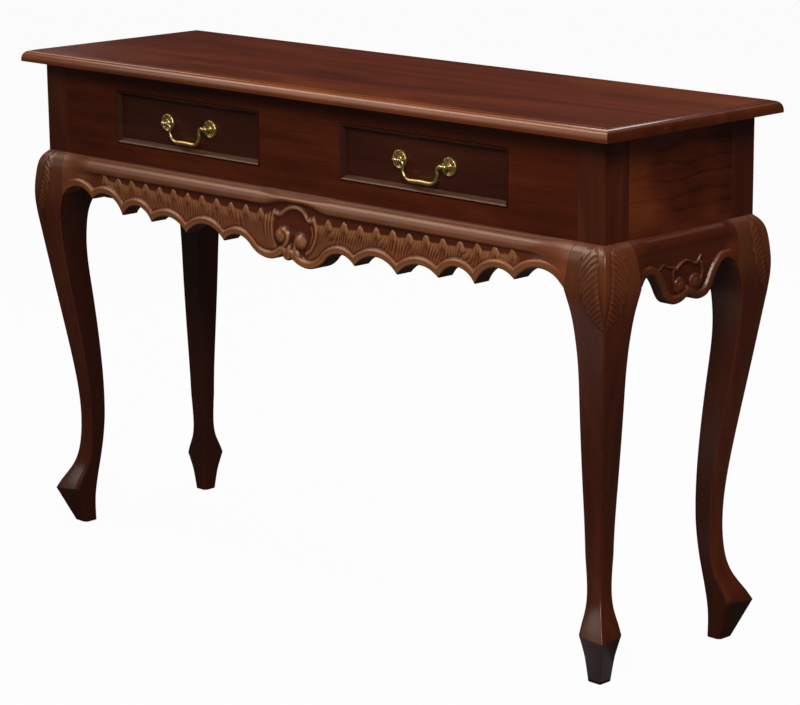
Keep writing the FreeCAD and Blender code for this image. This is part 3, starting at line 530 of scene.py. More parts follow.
class Nodes:
    """Adds nodes to one tree."""

    def __init__(self, tree: bpy.types.NodeTree) -> None:
        """Empties the tree."""
        self.tree = tree
        tree.nodes.clear()

    def add(self, kind: str, settings: Mapping[str, object] | None = None,
            sockets: Mapping[str | int, object] | None = None) -> bpy.types.Node:
        """Adds a node.

        Args:
            kind: Type of the node.
            settings: Its settings, with the stops of a ramp as pairs of place and colour.
            sockets: What each input is set to or linked from.

        Returns:
            The node.
        """
        made = self.tree.nodes.new(kind)
        for name, setting in (settings or {}).items():
            if name == "stops":
                self._set_stops(made.color_ramp.elements, setting)
            else:
                setattr(made, name, setting)
        for name, given in (sockets or {}).items():
            source = given.socket if isinstance(given, Value) else given
            if isinstance(source, bpy.types.NodeSocket):
                self.tree.links.new(source, made.inputs[name])
            else:
                made.inputs[name].default_value = source
        return made

    def _set_stops(self, elements: bpy.types.ColorRampElements,
                   stops: Sequence[tuple[float, Colour]]) -> None:
        """Gives a ramp its stops."""
        while len(elements) < len(stops):
            elements.new(1.0)
        for element, (place, colour) in zip(elements, stops):
            element.position = place
            element.color = (*colour, 1.0)

    def ramp(self, stops: Sequence[tuple[float, Colour]], share: Value) -> bpy.types.NodeSocket:
        """The colour of a ramp at a share."""
        return self.add("ShaderNodeValToRGB", {"stops": stops}, {0: share}).outputs["Color"]

    def bump(self, strength: float, distance: float, height: Value) -> bpy.types.NodeSocket:
        """A normal that follows a fine height."""
        sockets = {"Strength": strength, "Distance": distance, "Height": height}
        return self.add("ShaderNodeBump", None, sockets).outputs[0]

    def noise(self, vector: bpy.types.NodeSocket, scale: float, detail: float,
              distortion: float = 0.0) -> Value:
        """A noise from 0 to 1 on given coordinates."""
        sockets = {"Vector": vector, "Scale": scale, "Detail": detail, "Distortion": distortion}
        return Value(self, self.add("ShaderNodeTexNoise", None, sockets).outputs["Fac"])

    def mapped(self, scale: Sequence[float], move: Sequence[float] = (0, 0, 0)) -> bpy.types.NodeSocket:
        """Object coordinates, moved and scaled."""
        place = self.add("ShaderNodeTexCoord").outputs["Object"]
        sockets = {"Vector": place, "Location": move, "Scale": scale}
        return self.add("ShaderNodeMapping", None, sockets).outputs["Vector"]

    def mixed(self, share: Value, first: object, second: object) -> bpy.types.NodeSocket:
        """One colour going over into another by a share."""
        colours = [(*c, 1.0) if isinstance(c, tuple) else c for c in (first, second)]
        sockets = {0: share, 6: colours[0], 7: colours[1]}
        return self.add("ShaderNodeMix", {"data_type": "RGBA"}, sockets).outputs[2]

    def mixed_shader(self, share: Value | float, first: bpy.types.Node,
                     second: bpy.types.Node) -> bpy.types.Node:
        """One shader going over into another by a share."""
        sockets = {0: share, 1: first.outputs[0], 2: second.outputs[0]}
        return self.add("ShaderNodeMixShader", None, sockets)

    def relief(self) -> Value:
        """How light or dark a place is marked, from -1 to 1: by carved height, and on some pieces by painted
        light and shade.
        """
        return Value(self, self.add("ShaderNodeAttribute", {"attribute_name": "relief"}).outputs["Fac"])


def new_material(name: str) -> tuple[bpy.types.Material, Nodes]:
    """A material without nodes, and what adds nodes to it."""
    made = bpy.data.materials.new(name)
    made.use_nodes = True
    return made, Nodes(made.node_tree)


@dataclass(frozen=True)
class Finish:
    """A finish that is built as a material.

    Attributes:
        name: Name of the finish.
    """

    name: str

    def sockets(self, nodes: Nodes) -> dict[str, object]:
        """What the inputs of the shader are set to or linked from."""
        raise NotImplementedError

    def material(self) -> bpy.types.Material:
        """Builds the finish."""
        made, nodes = new_material(self.name)
        shader = nodes.add("ShaderNodeBsdfPrincipled", None, self.sockets(nodes))
        nodes.add("ShaderNodeOutputMaterial", None, {"Surface": shader.outputs[0]})
        return made


@dataclass(frozen=True)
class Wood(Finish):
    """A finish with a grain.

    Attributes:
        grain: The way that the grain runs.
        move: Shift of the pattern, so that boards differ.
    """

    grain: Grain
    move: tuple[float, float, float] = (0.0, 0.0, 0.0)

    def grained(self, nodes: Nodes, along: float, across: float, detail: float,
                distortion: float = 0.0) -> Value:
        """A noise from 0 to 1 with one scale along the grain and another across it."""
        scale = tuple(along if i == self.grain.value else across for i in range(3))
        return nodes.noise(nodes.mapped(scale, self.move), 1.0, detail, distortion)


@dataclass(frozen=True)
class Mahogany(Wood):
    """Stained mahogany under semi-gloss lacquer.

    Attributes:
        tone: How light the stain is, with 1 for the usual tone.
        wave: How far the figure waves.
        rub_and_sheen: How far places marked high are lightened, from 0 to 1: stain rubbed off carved
            heights, and a painted sheen and highlight on lit mouldings, carving and drawer borders.
        glaze_and_shade: How far places marked low are darkened, from 0 to 1: dark glaze in carved hollows,
            and painted shade on the inner faces of the legs, the feet and the drawer borders.
        roughness: Mean roughness of the lacquer.
        coat: How much clear coat lies on the lacquer, from 0 to 1.
    """

    tone: float = 1.0
    wave: float = 0.0
    rub_and_sheen: float = 0.0
    glaze_and_shade: float = 0.0
    roughness: float = 0.19
    coat: float = 0.2

    DARK = (0.046, 0.0070, 0.0018)
    MIDDLE = (0.108, 0.0185, 0.0046)
    LIGHT = (0.190, 0.0420, 0.0100)
    # The dark colour serves both glaze in hollows and painted shade; the light one serves both rubbed wear
    # and painted sheen and highlight.
    GLAZE_AND_SHADE = (0.026, 0.0050, 0.0016)
    RUBBED_AND_SHEEN = (0.300, 0.1200, 0.0430)

    def _toned(self, colour: Colour) -> Colour:
        """A colour in this tone."""
        return tuple(part * self.tone for part in colour)

    def waved(self, nodes: Nodes, shade: Value) -> Value:
        """A shade with clouds in it, and fine waving lines in the dark ones."""
        cloud = nodes.noise(nodes.mapped((1.0, 0.6, 1.0), self.move), 7.0, 3.0, 0.6)
        settings = {"wave_type": "BANDS", "bands_direction": "Z"}
        sockets = {"Vector": nodes.mapped((1.0, 0.5, 1.0), self.move), "Scale": 14.0, "Distortion": 8.0,
                   "Detail": 3.0, "Detail Scale": 1.0}
        band = Value(nodes, nodes.add("ShaderNodeTexWave", settings, sockets).outputs["Fac"])
        line = ((0.2 - band) * 5.0).held() * ((0.56 - cloud) * 5.0).held()
        return shade * 0.5 + 0.25 + (cloud - 0.5) * 1.9 - line * self.wave

    def sockets(self, nodes: Nodes) -> dict[str, object]:
        """Figure, streaks and pores, with the glaze and rubbed wear of the carving over them, and the
        painted light and shade that the marks also carry.
        """
        figure = self.grained(nodes, 1.8, 9.0, 6.0, 1.2)
        streak = self.grained(nodes, 1.6, 70.0, 4.0, 0.5)
        fibre = self.grained(nodes, 9.0, 420.0, 2.0)
        shade = figure + streak * 0.42 - 0.21
        if self.wave:
            shade = self.waved(nodes, shade)
        stops = ((0.18, self.DARK), (0.5, self.MIDDLE), (0.86, self.LIGHT))
        colour = nodes.ramp([(place, self._toned(stop)) for place, stop in stops], shade)
        pores = ((fibre - 0.56) * 9.0).held()
        colour = nodes.mixed(pores * 0.4, colour, self._toned(self.DARK))
        gloss = self.roughness + (streak - 0.5) * 0.05 + pores * 0.04
        # The relief marks lighten and darken the stain: glaze and wear on carving, and painted light and
        # shade on mouldings, drawer borders, leg faces and feet.
        if self.rub_and_sheen or self.glaze_and_shade:
            relief = nodes.relief()
            hollow = (-relief).held()
            colour = nodes.mixed(hollow * self.glaze_and_shade, colour, self.GLAZE_AND_SHADE)
            colour = nodes.mixed(relief.held() * self.rub_and_sheen, colour, self._toned(self.RUBBED_AND_SHEEN))
            gloss = gloss + hollow * 0.04
        return {"Base Color": colour, "Roughness": gloss,
                "Normal": nodes.bump(0.12, 0.0002, streak * 0.3 - pores),
                "Specular IOR Level": 0.5, "Coat Weight": self.coat, "Coat Roughness": 0.18}


@dataclass(frozen=True)
class InnerWood(Wood):
    """Bare planed wood of the inside."""

    DARK = (0.14, 0.065, 0.028)
    LIGHT = (0.33, 0.18, 0.085)

    def sockets(self, nodes: Nodes) -> dict[str, object]:
        """Figure and fibres without a lacquer."""
        figure = self.grained(nodes, 2.0, 22.0, 4.0, 0.7)
        fibre = self.grained(nodes, 5.0, 260.0, 3.0)
        colour = nodes.ramp(((0.25, self.DARK), (0.75, self.LIGHT)), figure * 0.7 + fibre * 0.5 - 0.1)
        return {"Base Color": colour, "Roughness": 0.62 + (fibre - 0.5) * 0.2,
                "Normal": nodes.bump(0.4, 0.0003, fibre), "Specular IOR Level": 0.3}


@dataclass(frozen=True)
class Metal(Finish):
    """A metal with tarnish in its hollows.

    Attributes:
        bright: Colour of the clean metal.
        dull: Colour of the tarnish.
        roughness: Mean roughness.
    """

    bright: Colour
    dull: Colour
    roughness: float

    def sockets(self, nodes: Nodes) -> dict[str, object]:
        """Bright metal, with tarnish in hollows and in patches."""
        patch = nodes.noise(nodes.mapped((1, 1, 1)), 160.0, 4.0, 0.4)
        grit = nodes.noise(nodes.mapped((1, 1, 1)), 1400.0, 2.0)
        hollow = (-nodes.relief()).held()
        tarnish = (hollow + (patch - 0.56) * 0.9).held()
        return {"Base Color": nodes.mixed(tarnish, self.bright, self.dull),
                "Roughness": self.roughness + tarnish * 0.3 + (grit - 0.5) * 0.1,
                "Metallic": 1.0 - tarnish * 0.25, "Normal": nodes.bump(0.2, 0.0001, grit)}


class Finishes:
    """The finishes of the table, each built once."""

    def __init__(self) -> None:
        """Builds them."""
        self.top = Mahogany("mahogany_top", Grain.LENGTH, (0.3, 0.1, 0.0), 1.42, rub_and_sheen=1.0, glaze_and_shade=0.7,
                            roughness=0.2).material()
        self.fascia = Mahogany("mahogany_fascia", Grain.LENGTH, (1.7, 0.4, 0.2), 0.9).material()
        self.panel = Mahogany("mahogany_panel", Grain.DEPTH, (0.2, 0.7, 0.5), 1.08, wave=0.22).material()
        # The drawer fronts' dark tone is partly painted shade on their sunk panels.
        self.drawer = Mahogany("mahogany_drawer", Grain.LENGTH, (3.1, 1.3, 0.9), 0.5, rub_and_sheen=0.5, glaze_and_shade=0.5,
                               roughness=0.33, coat=0.0).material()
        self.leg = Mahogany("mahogany_leg", Grain.HEIGHT, (0.5, 0.2, 0.6), rub_and_sheen=0.45, glaze_and_shade=0.8,
                            roughness=0.29).material()
        # The front apron's light tone is partly painted light, for the light that falls on its upward-facing
        # cornice and carving.
        self.apron = Mahogany("mahogany_apron", Grain.LENGTH, (2.3, 0.8, 0.1), 1.35, rub_and_sheen=1.0, glaze_and_shade=0.6,
                              roughness=0.33).material()
        self.side_apron = Mahogany("mahogany_side_apron", Grain.DEPTH, (0.9, 0.3, 0.7), 0.9, rub_and_sheen=0.18,
                                   glaze_and_shade=0.5, roughness=0.28).material()
        self.inner_length = InnerWood("inner_wood_length", Grain.LENGTH).material()
        self.inner_depth = InnerWood("inner_wood_depth", Grain.DEPTH).material()
        self.brass = Metal("antique_brass", (0.70, 0.54, 0.24), (0.12, 0.080, 0.032), 0.36).material()
        self.steel = Metal("steel_screw", (0.55, 0.55, 0.56), (0.25, 0.24, 0.23), 0.35).material()


# Table top


@dataclass
class TableTop:
    """The top board with its moulded edge.

    Attributes:
        edge: Width of the moulding.
        step: Height of the small step at the top of the moulding.
        band: Height of the upright band at the widest place.
        undercut: How far the underside rises towards the edge.
        undercut_width: Width of the rising strip of the underside.
        fullness: How full the round of the moulding is, with 2 for a quarter of an ellipse.
        steps: Facets of the round.
    """

    edge: float = 13.0
    step: float = 0.9
    band: float = 1.4
    undercut: float = 3.0
    undercut_width: float = 16.0
    fullness: float = 2.4
    steps: int = 12

    ARRIS = (0.4, 0.3)
    END_STAIN = -0.75
    # Lighter marks on the front and back moulding are partly painted highlight and sheen, most on the
    # upward-facing round.
    BAND_RUB_AND_SHEEN = 0.1
    ROUND_RUB_AND_SHEEN = 0.27
    BAND_TOP = 785.6

    def profile(self) -> list[tuple[float, float]]:
        """Shares of the moulding's width and height from its nose to its step."""
        power = 2 / self.fullness
        turns = [math.pi / 2 * (i + 1) / self.steps for i in range(self.steps)]
        return [(1 - abs(math.cos(turn)) ** power, math.sin(turn) ** power) for turn in turns]

    def quirk(self) -> list[tuple[float, float]]:
        """Steps inward and upward of the groove above the round and of the soft edge above the groove."""
        return [(0.15, -0.9), (0.5, 0.1), (0.15, self.step + 0.4), (0.45, 0.4)]

    def build(self) -> bpy.types.Object:
        """Shapes the board from a blank as thick as the band."""
        low, high = (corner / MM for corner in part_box("table_top"))
        band_low = low.z + self.undercut
        band_high = band_low + self.band
        board = block("table_top_board", (low.x, low.y, band_low), (high.x, high.y, band_high))
        rise = high.z - self.step - band_high
        with Bench(board) as bench:
            bench.pick(lambda face: face.normal.z > 0.9)
            before = (0.0, 0.0)
            for inward, upward in self.profile():
                bench.step(self.edge * (inward - before[0]), rise * (upward - before[1]))
                before = (inward, upward)
            for inward, upward in self.quirk():
                bench.step(inward, upward)
            bench.pick(lambda face: face.normal.z < -0.9)
            bench.step(*self.ARRIS)
            bench.step(self.undercut_width, self.undercut - self.ARRIS[1])
        mark_stain_and_light(board, self.stain_and_light)
        return board

    def stain_and_light(self, face: bpy.types.MeshPolygon) -> float:
        """Dark on the end grain, and lighter along the front and the back, partly rubbed wear and partly a
        painted highlight and sheen, most on the round.
        """
        if abs(face.normal.x) > 0.12:
            return self.END_STAIN
        if abs(face.normal.y) < 0.25:
            return 0.0
        return self.BAND_RUB_AND_SHEEN if face.center.z / MM < self.BAND_TOP else self.ROUND_RUB_AND_SHEEN

    def dress(self, finishes: Finishes) -> None:
        """Builds the board and gives it its finish."""
        finish_piece(self.build(), "carcase", ["table_top"], finishes.top)


# Legs


@dataclass
class Leg:
    """A square cabriole leg with a post above it and a leaf carved on each outer face of its knee.

    Attributes:
        node: The node that it stands for.
        right: 1 on the right of the table and -1 on the left.
        back: 1 at the back and -1 at the front.
        leaf_pitch: Distance between the ribs of the leaf.
        foot_rise: How much higher the widest place of the foot lies at its sides than at its toe.
        foot_taper: How far the foot draws in at its sides.
        leaf_share: Width of the leaf as a share of the widest one.
        strip: Width of the plain strip between the outer corner and the leaf.
        toe_lift: How much higher the widest place of this foot lies.
        shade: How much darker this leg is made below its knee, from 0 to 1; it also deepens the painted
            shade on its inner faces.
    """

    node: str
    right: int
    back: int
    leaf_pitch: float = 7.8
    foot_rise: float = 5.0
    foot_taper: float = 4.0
    leaf_share: float = 1.0
    strip: float = 13.0
    toe_lift: float = 0.0
    shade: float = 0.0

    FRONT = ((0, 636), (4.6, 631.9), (9, 626.9), (12.6, 620.4), (15.8, 609), (18.1, 593.2), (20, 567),
             (15.2, 512), (0.2, 403), (-15.2, 291.9), (-24, 160), (-22.6, 140), (-12.7, 97.2), (2.4, 69),
             (8, 57))
    BACK = ((-56, 570), (-45.8, 543.9), (-40.6, 507.9), (-39.6, 480), (-44, 403), (-50.4, 315), (-54, 225),
            (-51.3, 137), (-44.5, 75), (-41.2, 41), (-41, 0))
    BASE = -14.5
    TOE = 57.0
    ANKLE = 170.0
    RINGS = ((0, TOE, 12), (TOE, 180, 36), (180, 508, 54), (508, LEDGE, 94), (LEDGE, POST_TOP, 8))
    LIFT_SHARE = ((0, 0), (TOE, 1), (300, 0))
    TAPER_SHARE = ((0, 0), (30, 1), (90, 1), (ANKLE, 0))
    CORNER_ROUND = ((60, 1.2), (120, 2.6), (300, 3.2), (520, 2.6))
    SIDE_ROUND = ((80, 7.0), (180, 1.3))
    POST_CORNER_ROUND = 0.9
    POST_SIDE_ROUND = 0.8
    LEAF_WIDTH = ((520, 0), (528, 16), (544, 34), (572, 38), (598, 40), (618, 34), (630, 20), (638, 6))
    RIB_SLANT = 0.42
    RIB_CURVE = 0.012
    RIB_WAVER = 1.6
    LEAF_HEIGHT = 0.3
    BARB_HEIGHT = 1.3
    SPINE_DEPTH = 0.7
    STAIN_DEPTH = 1.3
    KNEE_RUB = 0.45
    # Painted shade: the foot below its widest place and the inner faces are darkened; the posts take a
    # darker stain, and the foot darkens towards the floor.
    TOE_PAINTED_SHADE = -0.9
    FOOT_DARKENING = -0.4
    POST_STAIN = -0.35
    INNER_PAINTED_SHADE = -0.8
    SMOOTH_ANGLE = 40.0

    @classmethod
    def outer(cls, height: np.ndarray) -> np.ndarray:
        """How far the outer faces stand out from the carcase at each height."""
        curve = smooth_line(cls.FRONT, 600)[::-1]
        low = np.array([[cls.BASE, 0.0]])
        line = np.vstack([low, curve, [[0.0, POST_TOP]]])
        return looked_up(line[:, ::-1], height)

    @classmethod
    def inner(cls, height: np.ndarray) -> np.ndarray:
        """Where the inner faces are at each height."""
        curve = smooth_line(cls.BACK, 600)[::-1]
        line = np.vstack([curve, [[-POST, LEDGE], [-POST, POST_TOP]]])
        return looked_up(line[:, ::-1], height)

    def heights(self) -> np.ndarray:
        """The heights of the rings, close together where the leg is carved."""
        corners = np.array([0, self.TOE, EAR, LEDGE - 0.8, LEDGE, LEDGE + 0.8, POST_TOP])
        parts = [np.linspace(*run) for run in self.RINGS]
        return np.unique(np.round(np.concatenate([corners, *parts]), 3))

    def leaf(self, inward: np.ndarray, up: np.ndarray) -> np.ndarray:
        """Height of the carving on an outer face.

        Args:
            inward: Distance from the outer corner of the leg.
            up: Height above the floor.

        Returns:
            How far the face stands out.
        """
        strip = self.strip * eased((up - 514) / 70)
        across = inward - strip
        bend = self.RIB_SLANT * across + self.RIB_CURVE * np.clip(across, 0, None) ** 2
        rib_place = (up + bend + self.RIB_WAVER * np.sin(up / 15.0 + 0.8)) / self.leaf_pitch
        width = looked_up(self.LEAF_WIDTH, up) * self.leaf_share
        turn = 2 * math.pi * rib_place
        width = width * (0.9 + 0.07 * np.cos(turn / 2.5) + 0.03 * np.cos(turn))
        inside = eased((width - across) / 2.6) * eased(across / 1.2 + 0.5)
        barb = 1 - (rib_place - np.floor(rib_place))
        soft = 0.75 + 0.25 * np.sin(across / 4.0 + up / 11.0)
        high = inside * (self.LEAF_HEIGHT + self.BARB_HEIGHT * barb * soft)
        spine = -self.SPINE_DEPTH * np.exp(-((across / 1.3) ** 2)) * eased((strip - 0.5) / 2)
        return (high + spine) * eased((LEDGE - up) / 9)

    def tones(self, up: np.ndarray) -> tuple[np.ndarray, np.ndarray]:
        """How light or dark the colour lies on the outer faces and on the inner ones at each height: a
        lighter knee, a darker post, darker towards the floor, and painted shade below the toe and on the
        inner faces.
        """
        lower = up < LEDGE
        outer = self.KNEE_RUB * eased((up - 525) / 70) * lower + self.TOE_PAINTED_SHADE * (up < self.TOE)
        outer = outer + self.POST_STAIN * (up > LEDGE) - self.shade * eased((560 - up) / 60)
        outer = outer + self.FOOT_DARKENING * eased((150 - up) / 70)
        return outer, np.where(lower, self.INNER_PAINTED_SHADE - self.shade, 0.0)

    def columns(self, up: np.ndarray) -> list[tuple[np.ndarray, np.ndarray, np.ndarray, Place]]:
        """The columns of the leg's sheet, once round the leg in its own corner.

        Args:
            up: Heights of the rings.

        Returns:
            Of each column, its places along the table and across it, its heights and the part that it is on.
        """
        outer = self.outer(up)
        lower = up < LEDGE
        crisp = np.where(lower, looked_up(self.CORNER_ROUND, up), self.POST_CORNER_ROUND)
        side = np.where(lower, looked_up(self.SIDE_ROUND, up), self.POST_SIDE_ROUND)
        foot = looked_up(self.TAPER_SHARE, up)

        def level(away: float) -> np.ndarray:
            """Heights of the rings at a share of the way from the toe to a side of the foot."""
            toe = self.TOE + self.foot_rise * away
            bent = np.interp(up, (0, self.TOE, self.ANKLE), (0, toe, self.ANKLE))
            return np.where(up < self.ANKLE, bent, up)

        def stand_out(away: float) -> np.ndarray:
            """How far an outer face stands out at such a share."""
            return outer - self.foot_taper * away**2 * foot

        inner, rim, high = self.inner(level(1.0)), stand_out(1.0), level(1.0)
        a0, a1 = inner + side, outer - crisp
        turns = [(math.sin(t), math.cos(t)) for t in np.radians(np.linspace(0, 90, 6))[1:-1]]
        fine, plain = np.linspace(0, 1, 52), np.linspace(0, 1, 9)
        corner, within = Place.CORNER, Place.INNER
        made = [(a0 + (a1 - a0) * k, stand_out(1 - k), level(1 - k), Place.LONG_FACE) for k in fine]
        made += [(a1 + crisp * s, a1 + crisp * c, up, corner) for s, c in turns]
        made += [(stand_out(k), a1 + (a0 - a1) * k, level(k), Place.END_FACE) for k in fine]
        made += [(rim - side * (1 - c), inner + side * (1 - s), high, corner) for s, c in turns]
        made += [(rim - side + (a0 - rim + side) * k, inner, high, within) for k in plain]
        made += [(inner + side * (1 - s), inner + side * (1 - c), high, within) for s, c in turns]
        made += [(inner, a0 + (rim - side - a0) * k, high, within) for k in plain]
        made += [(inner + side * (1 - c), rim - side * (1 - s), high, corner) for s, c in turns]
        return [*made, made[0]]

    def rings(self, up: np.ndarray) -> tuple[np.ndarray, np.ndarray]:
        """The rings of the leg in its own corner, with their carving.

        Args:
            up: Heights of the rings.

        Returns:
            Places in rows and columns, and how light or dark the colour lies there, with the painted shade
            of the inner faces and the foot.
        """
        outer = self.outer(up)
        outer_tone, inner_tone = self.tones(up)
        columns = self.columns(up)
        places = np.zeros((len(up), len(columns), 3))
        stand = np.zeros(places.shape[:2])
        tone = np.zeros(places.shape[:2])
        for i, (along, across, high, part) in enumerate(columns):
            places[:, i] = np.stack([along, across, high], axis=-1)
            tone[:, i] = inner_tone if part is Place.INNER else outer_tone
            if part in (Place.LONG_FACE, Place.END_FACE):
                inward = outer - (along if part is Place.LONG_FACE else across)
                stand[:, i] = self.leaf(inward, up) * eased(inward / 3)
                places[:, i, 1 if part is Place.LONG_FACE else 0] += stand[:, i]
        return places, np.clip((stand - blurred(stand, 3)) / self.STAIN_DEPTH + tone, -1, 1)

    def build(self) -> bpy.types.Object:
        """Shapes the leg from a sheet rolled into a tube."""
        up = self.heights()
        places, stain_and_light = self.rings(up)
        places[..., 2] += self.toe_lift * looked_up(self.LIFT_SHARE, up)[:, None]
        places[..., 0] = self.right * (HALF_LENGTH + places[..., 0])
        places[..., 1] = self.back * (HALF_DEPTH + places[..., 1])
        leg = sheet(self.node + "_carved", places, stain_and_light)
        with Bench(leg) as bench:
            bench.join_seam()
        return leg

    def dress(self, finishes: Finishes) -> None:
        """Builds the leg and gives it its finish."""
        finish_piece(self.build(), "carcase", [self.node], finishes.leg, self.SMOOTH_ANGLE)


# Aprons


@dataclass
class Apron:
    """A shaped apron with a ledge along its top, a bead along its lower edge and carving between them.

    Attributes:
        side: The side of the table that it closes.
        half_span: Half its length between the posts.
        face: The place of the carcase's face behind the ledge.
        step: Distance between the columns of its sheet.
        rows: Rows of its sheet.
        blend: Length over which it goes over into the knees.
        back_inset: How far its back lies behind the carcase's face.
    """

    side: Side
    half_span: float
    face: float
    step: float
    rows: int
    blend: float
    back_inset: float

    GROUND = 11.0
    BED = GROUND - 0.5
    CARVING_TOP = 612.0
    CORNICE_LOW = 616.0
    CORNICE = ((624, 16.4), (627, 14.9), (630, 12.6), (632.5, 9.9), (634.5, 6.5), (635.5, 3.2), (636, 0.0))
    SECTION = ((520, 12.4), (575, 11.8), (606, 11.0), (610, 11.4), (612.2, 13.2), (613.8, 15.6),
               (615.4, 17.0), (618, 17.7), (621, 17.3), *CORNICE)
    PLAIN_SECTION = ((520, 12.4), (580, 12.2), (596, 13.0), (606, 14.6), (614, 16.6), (620, 17.2), *CORNICE)
    BEAD = ((0, 13.6), (0.8, 15.4), (2.2, 16.8), (4, 17.4), (8, 17.2), (9.8, 17.0), (11.0, 16.4),
            (12.0, 15.2), (13.0, 13.6), (14.4, 12.2), (16, 11.6))
    BEAD_WIDTH = 11.0
    BEAD_FOOT = 13.2
    EDGE_ROUND = (2.5, 2.2)
    NEIGHBOURS = 24
    KNEE_RUB = 0.17
    STAIN_DEPTH = 0.9
    CORNICE_CALM = 0.75
    SMOOTH_ANGLE = 75.0

    def edge(self) -> np.ndarray:
        """Places along the lower edge."""
        raise NotImplementedError

    def cornice_lift(self, across: np.ndarray) -> np.ndarray:
        """How far the lower side of the cornice rises above its usual place."""
        return np.zeros_like(across)

    def cove_fade(self, across: np.ndarray) -> np.ndarray:
        """How far the cove under the cornice has run out, from 0 to 1."""
        return np.zeros_like(across)

    def carve(self, relief: np.ndarray, across: np.ndarray, up: np.ndarray) -> np.ndarray:
        """Adds the carving of this apron.

        Args:
            relief: How far the plain surface stands out.
            across: Place across the apron.
            up: Height.

        Returns:
            How far the carved surface stands out.
        """
        raise NotImplementedError

    def surface(self) -> tuple[np.ndarray, np.ndarray, np.ndarray]:
        """The front of the apron.

        Returns:
            Place across, height, and how far it stands out, in rows and columns.
        """
        edge = self.edge()
        share = np.linspace(0, 1, self.rows)[:, None]
        up = edge[:, 1] + (LEDGE - edge[:, 1]) * share
        ear = self.half_span - (EAR_REACH - POST)
        slant = (self.half_span - (LEDGE - up) * (EAR_REACH - POST) / (LEDGE - EAR)) / ear
        wide = eased((np.abs(edge[:, 0]) / ear - 0.8) / 0.2)
        across = edge[:, 0] * (1 + (slant - 1) * wide)
        depth = np.full(up.shape, np.inf)
        for shift in range(-self.NEIGHBOURS, self.NEIGHBOURS + 1):
            near = np.clip(np.arange(len(edge)) + shift, 0, len(edge) - 1)
            depth = np.minimum(depth, np.hypot(across - edge[near, 0], up - edge[near, 1]))
        drop = np.clip((up - 598) / 14, 0, 1) * self.cornice_lift(across) * eased((634 - up) / 12)
        out = looked_up(self.SECTION, up - drop)
        out = out + (looked_up(self.PLAIN_SECTION, up) - out) * self.cove_fade(across)
        out = self.carve(out, across, up)
        rolled = looked_up(self.BEAD, depth)
        out = np.where(depth < self.BEAD_FOOT, np.maximum(rolled, out), out)
        out = np.where(depth < self.BEAD_WIDTH, rolled, out)
        knee = Leg.outer(up)
        wide, deep = self.EDGE_ROUND
        knee = np.where(depth < wide, knee - deep * (1 - depth / wide) ** 2, knee)
        return across, up, out + (knee - out) * self.meet(across)

    def meet(self, across: np.ndarray) -> np.ndarray:
        """How far the apron has gone over into the knee, from 0 to 1."""
        return eased((np.abs(across) - (self.half_span - self.blend)) / (self.blend - 6))

    def wear_and_sheen(self, across: np.ndarray, up: np.ndarray, out: np.ndarray) -> np.ndarray:
        """How much lighter a place is, from 0 to 1, or darker, below 0.

        Args:
            across: Place across the apron.
            up: Height.
            out: How far the surface stands out.

        Returns:
            How light or dark the colour lies.
        """
        return np.where(up < self.CARVING_TOP, np.clip((out - 12.3) / 4, -0.4, 0.8), 0.0)

    def world(self, across: np.ndarray, up: np.ndarray, out: np.ndarray) -> np.ndarray:
        """Places in the frame of places on the apron."""
        if self.side is Side.FRONT:
            return np.stack([across, -self.face - out, up], axis=-1)
        turn = 1 if self.side is Side.RIGHT else -1
        return np.stack([turn * (self.face + out), across, up], axis=-1)

    def build(self) -> bpy.types.Object:
        """Shapes the apron from a sheet that is carved and run back to its thickness."""
        across, up, out = self.surface()
        meet = self.meet(across)
        # On the front apron this share is partly painted sheen and highlight.
        wear_and_sheen = self.wear_and_sheen(across, up, out) * (1 - meet) + self.KNEE_RUB * meet
        calm = 1 - self.CORNICE_CALM * eased((up - self.CORNICE_LOW) / 10)
        raised = (out - blurred(out, 2)) / self.STAIN_DEPTH * calm
        stain_and_light = np.clip(raised + wear_and_sheen, -1, 1)
        apron = sheet(self.side.value + "_carved", self.world(across, up, out), stain_and_light)
        back = self.face - self.back_inset
        axis, plane = {Side.FRONT: (1, -back), Side.RIGHT: (0, back), Side.LEFT: (0, -back)}[self.side]
        with Bench(apron) as bench:
            bench.close_back(axis, plane)
        return apron

    def dress(self, finishes: Finishes) -> None:
        """Builds the apron and gives it its finish."""
        material = finishes.apron if self.side is Side.FRONT else finishes.side_apron
        finish_piece(self.build(), "carcase", [self.side.value], material, self.SMOOTH_ANGLE)


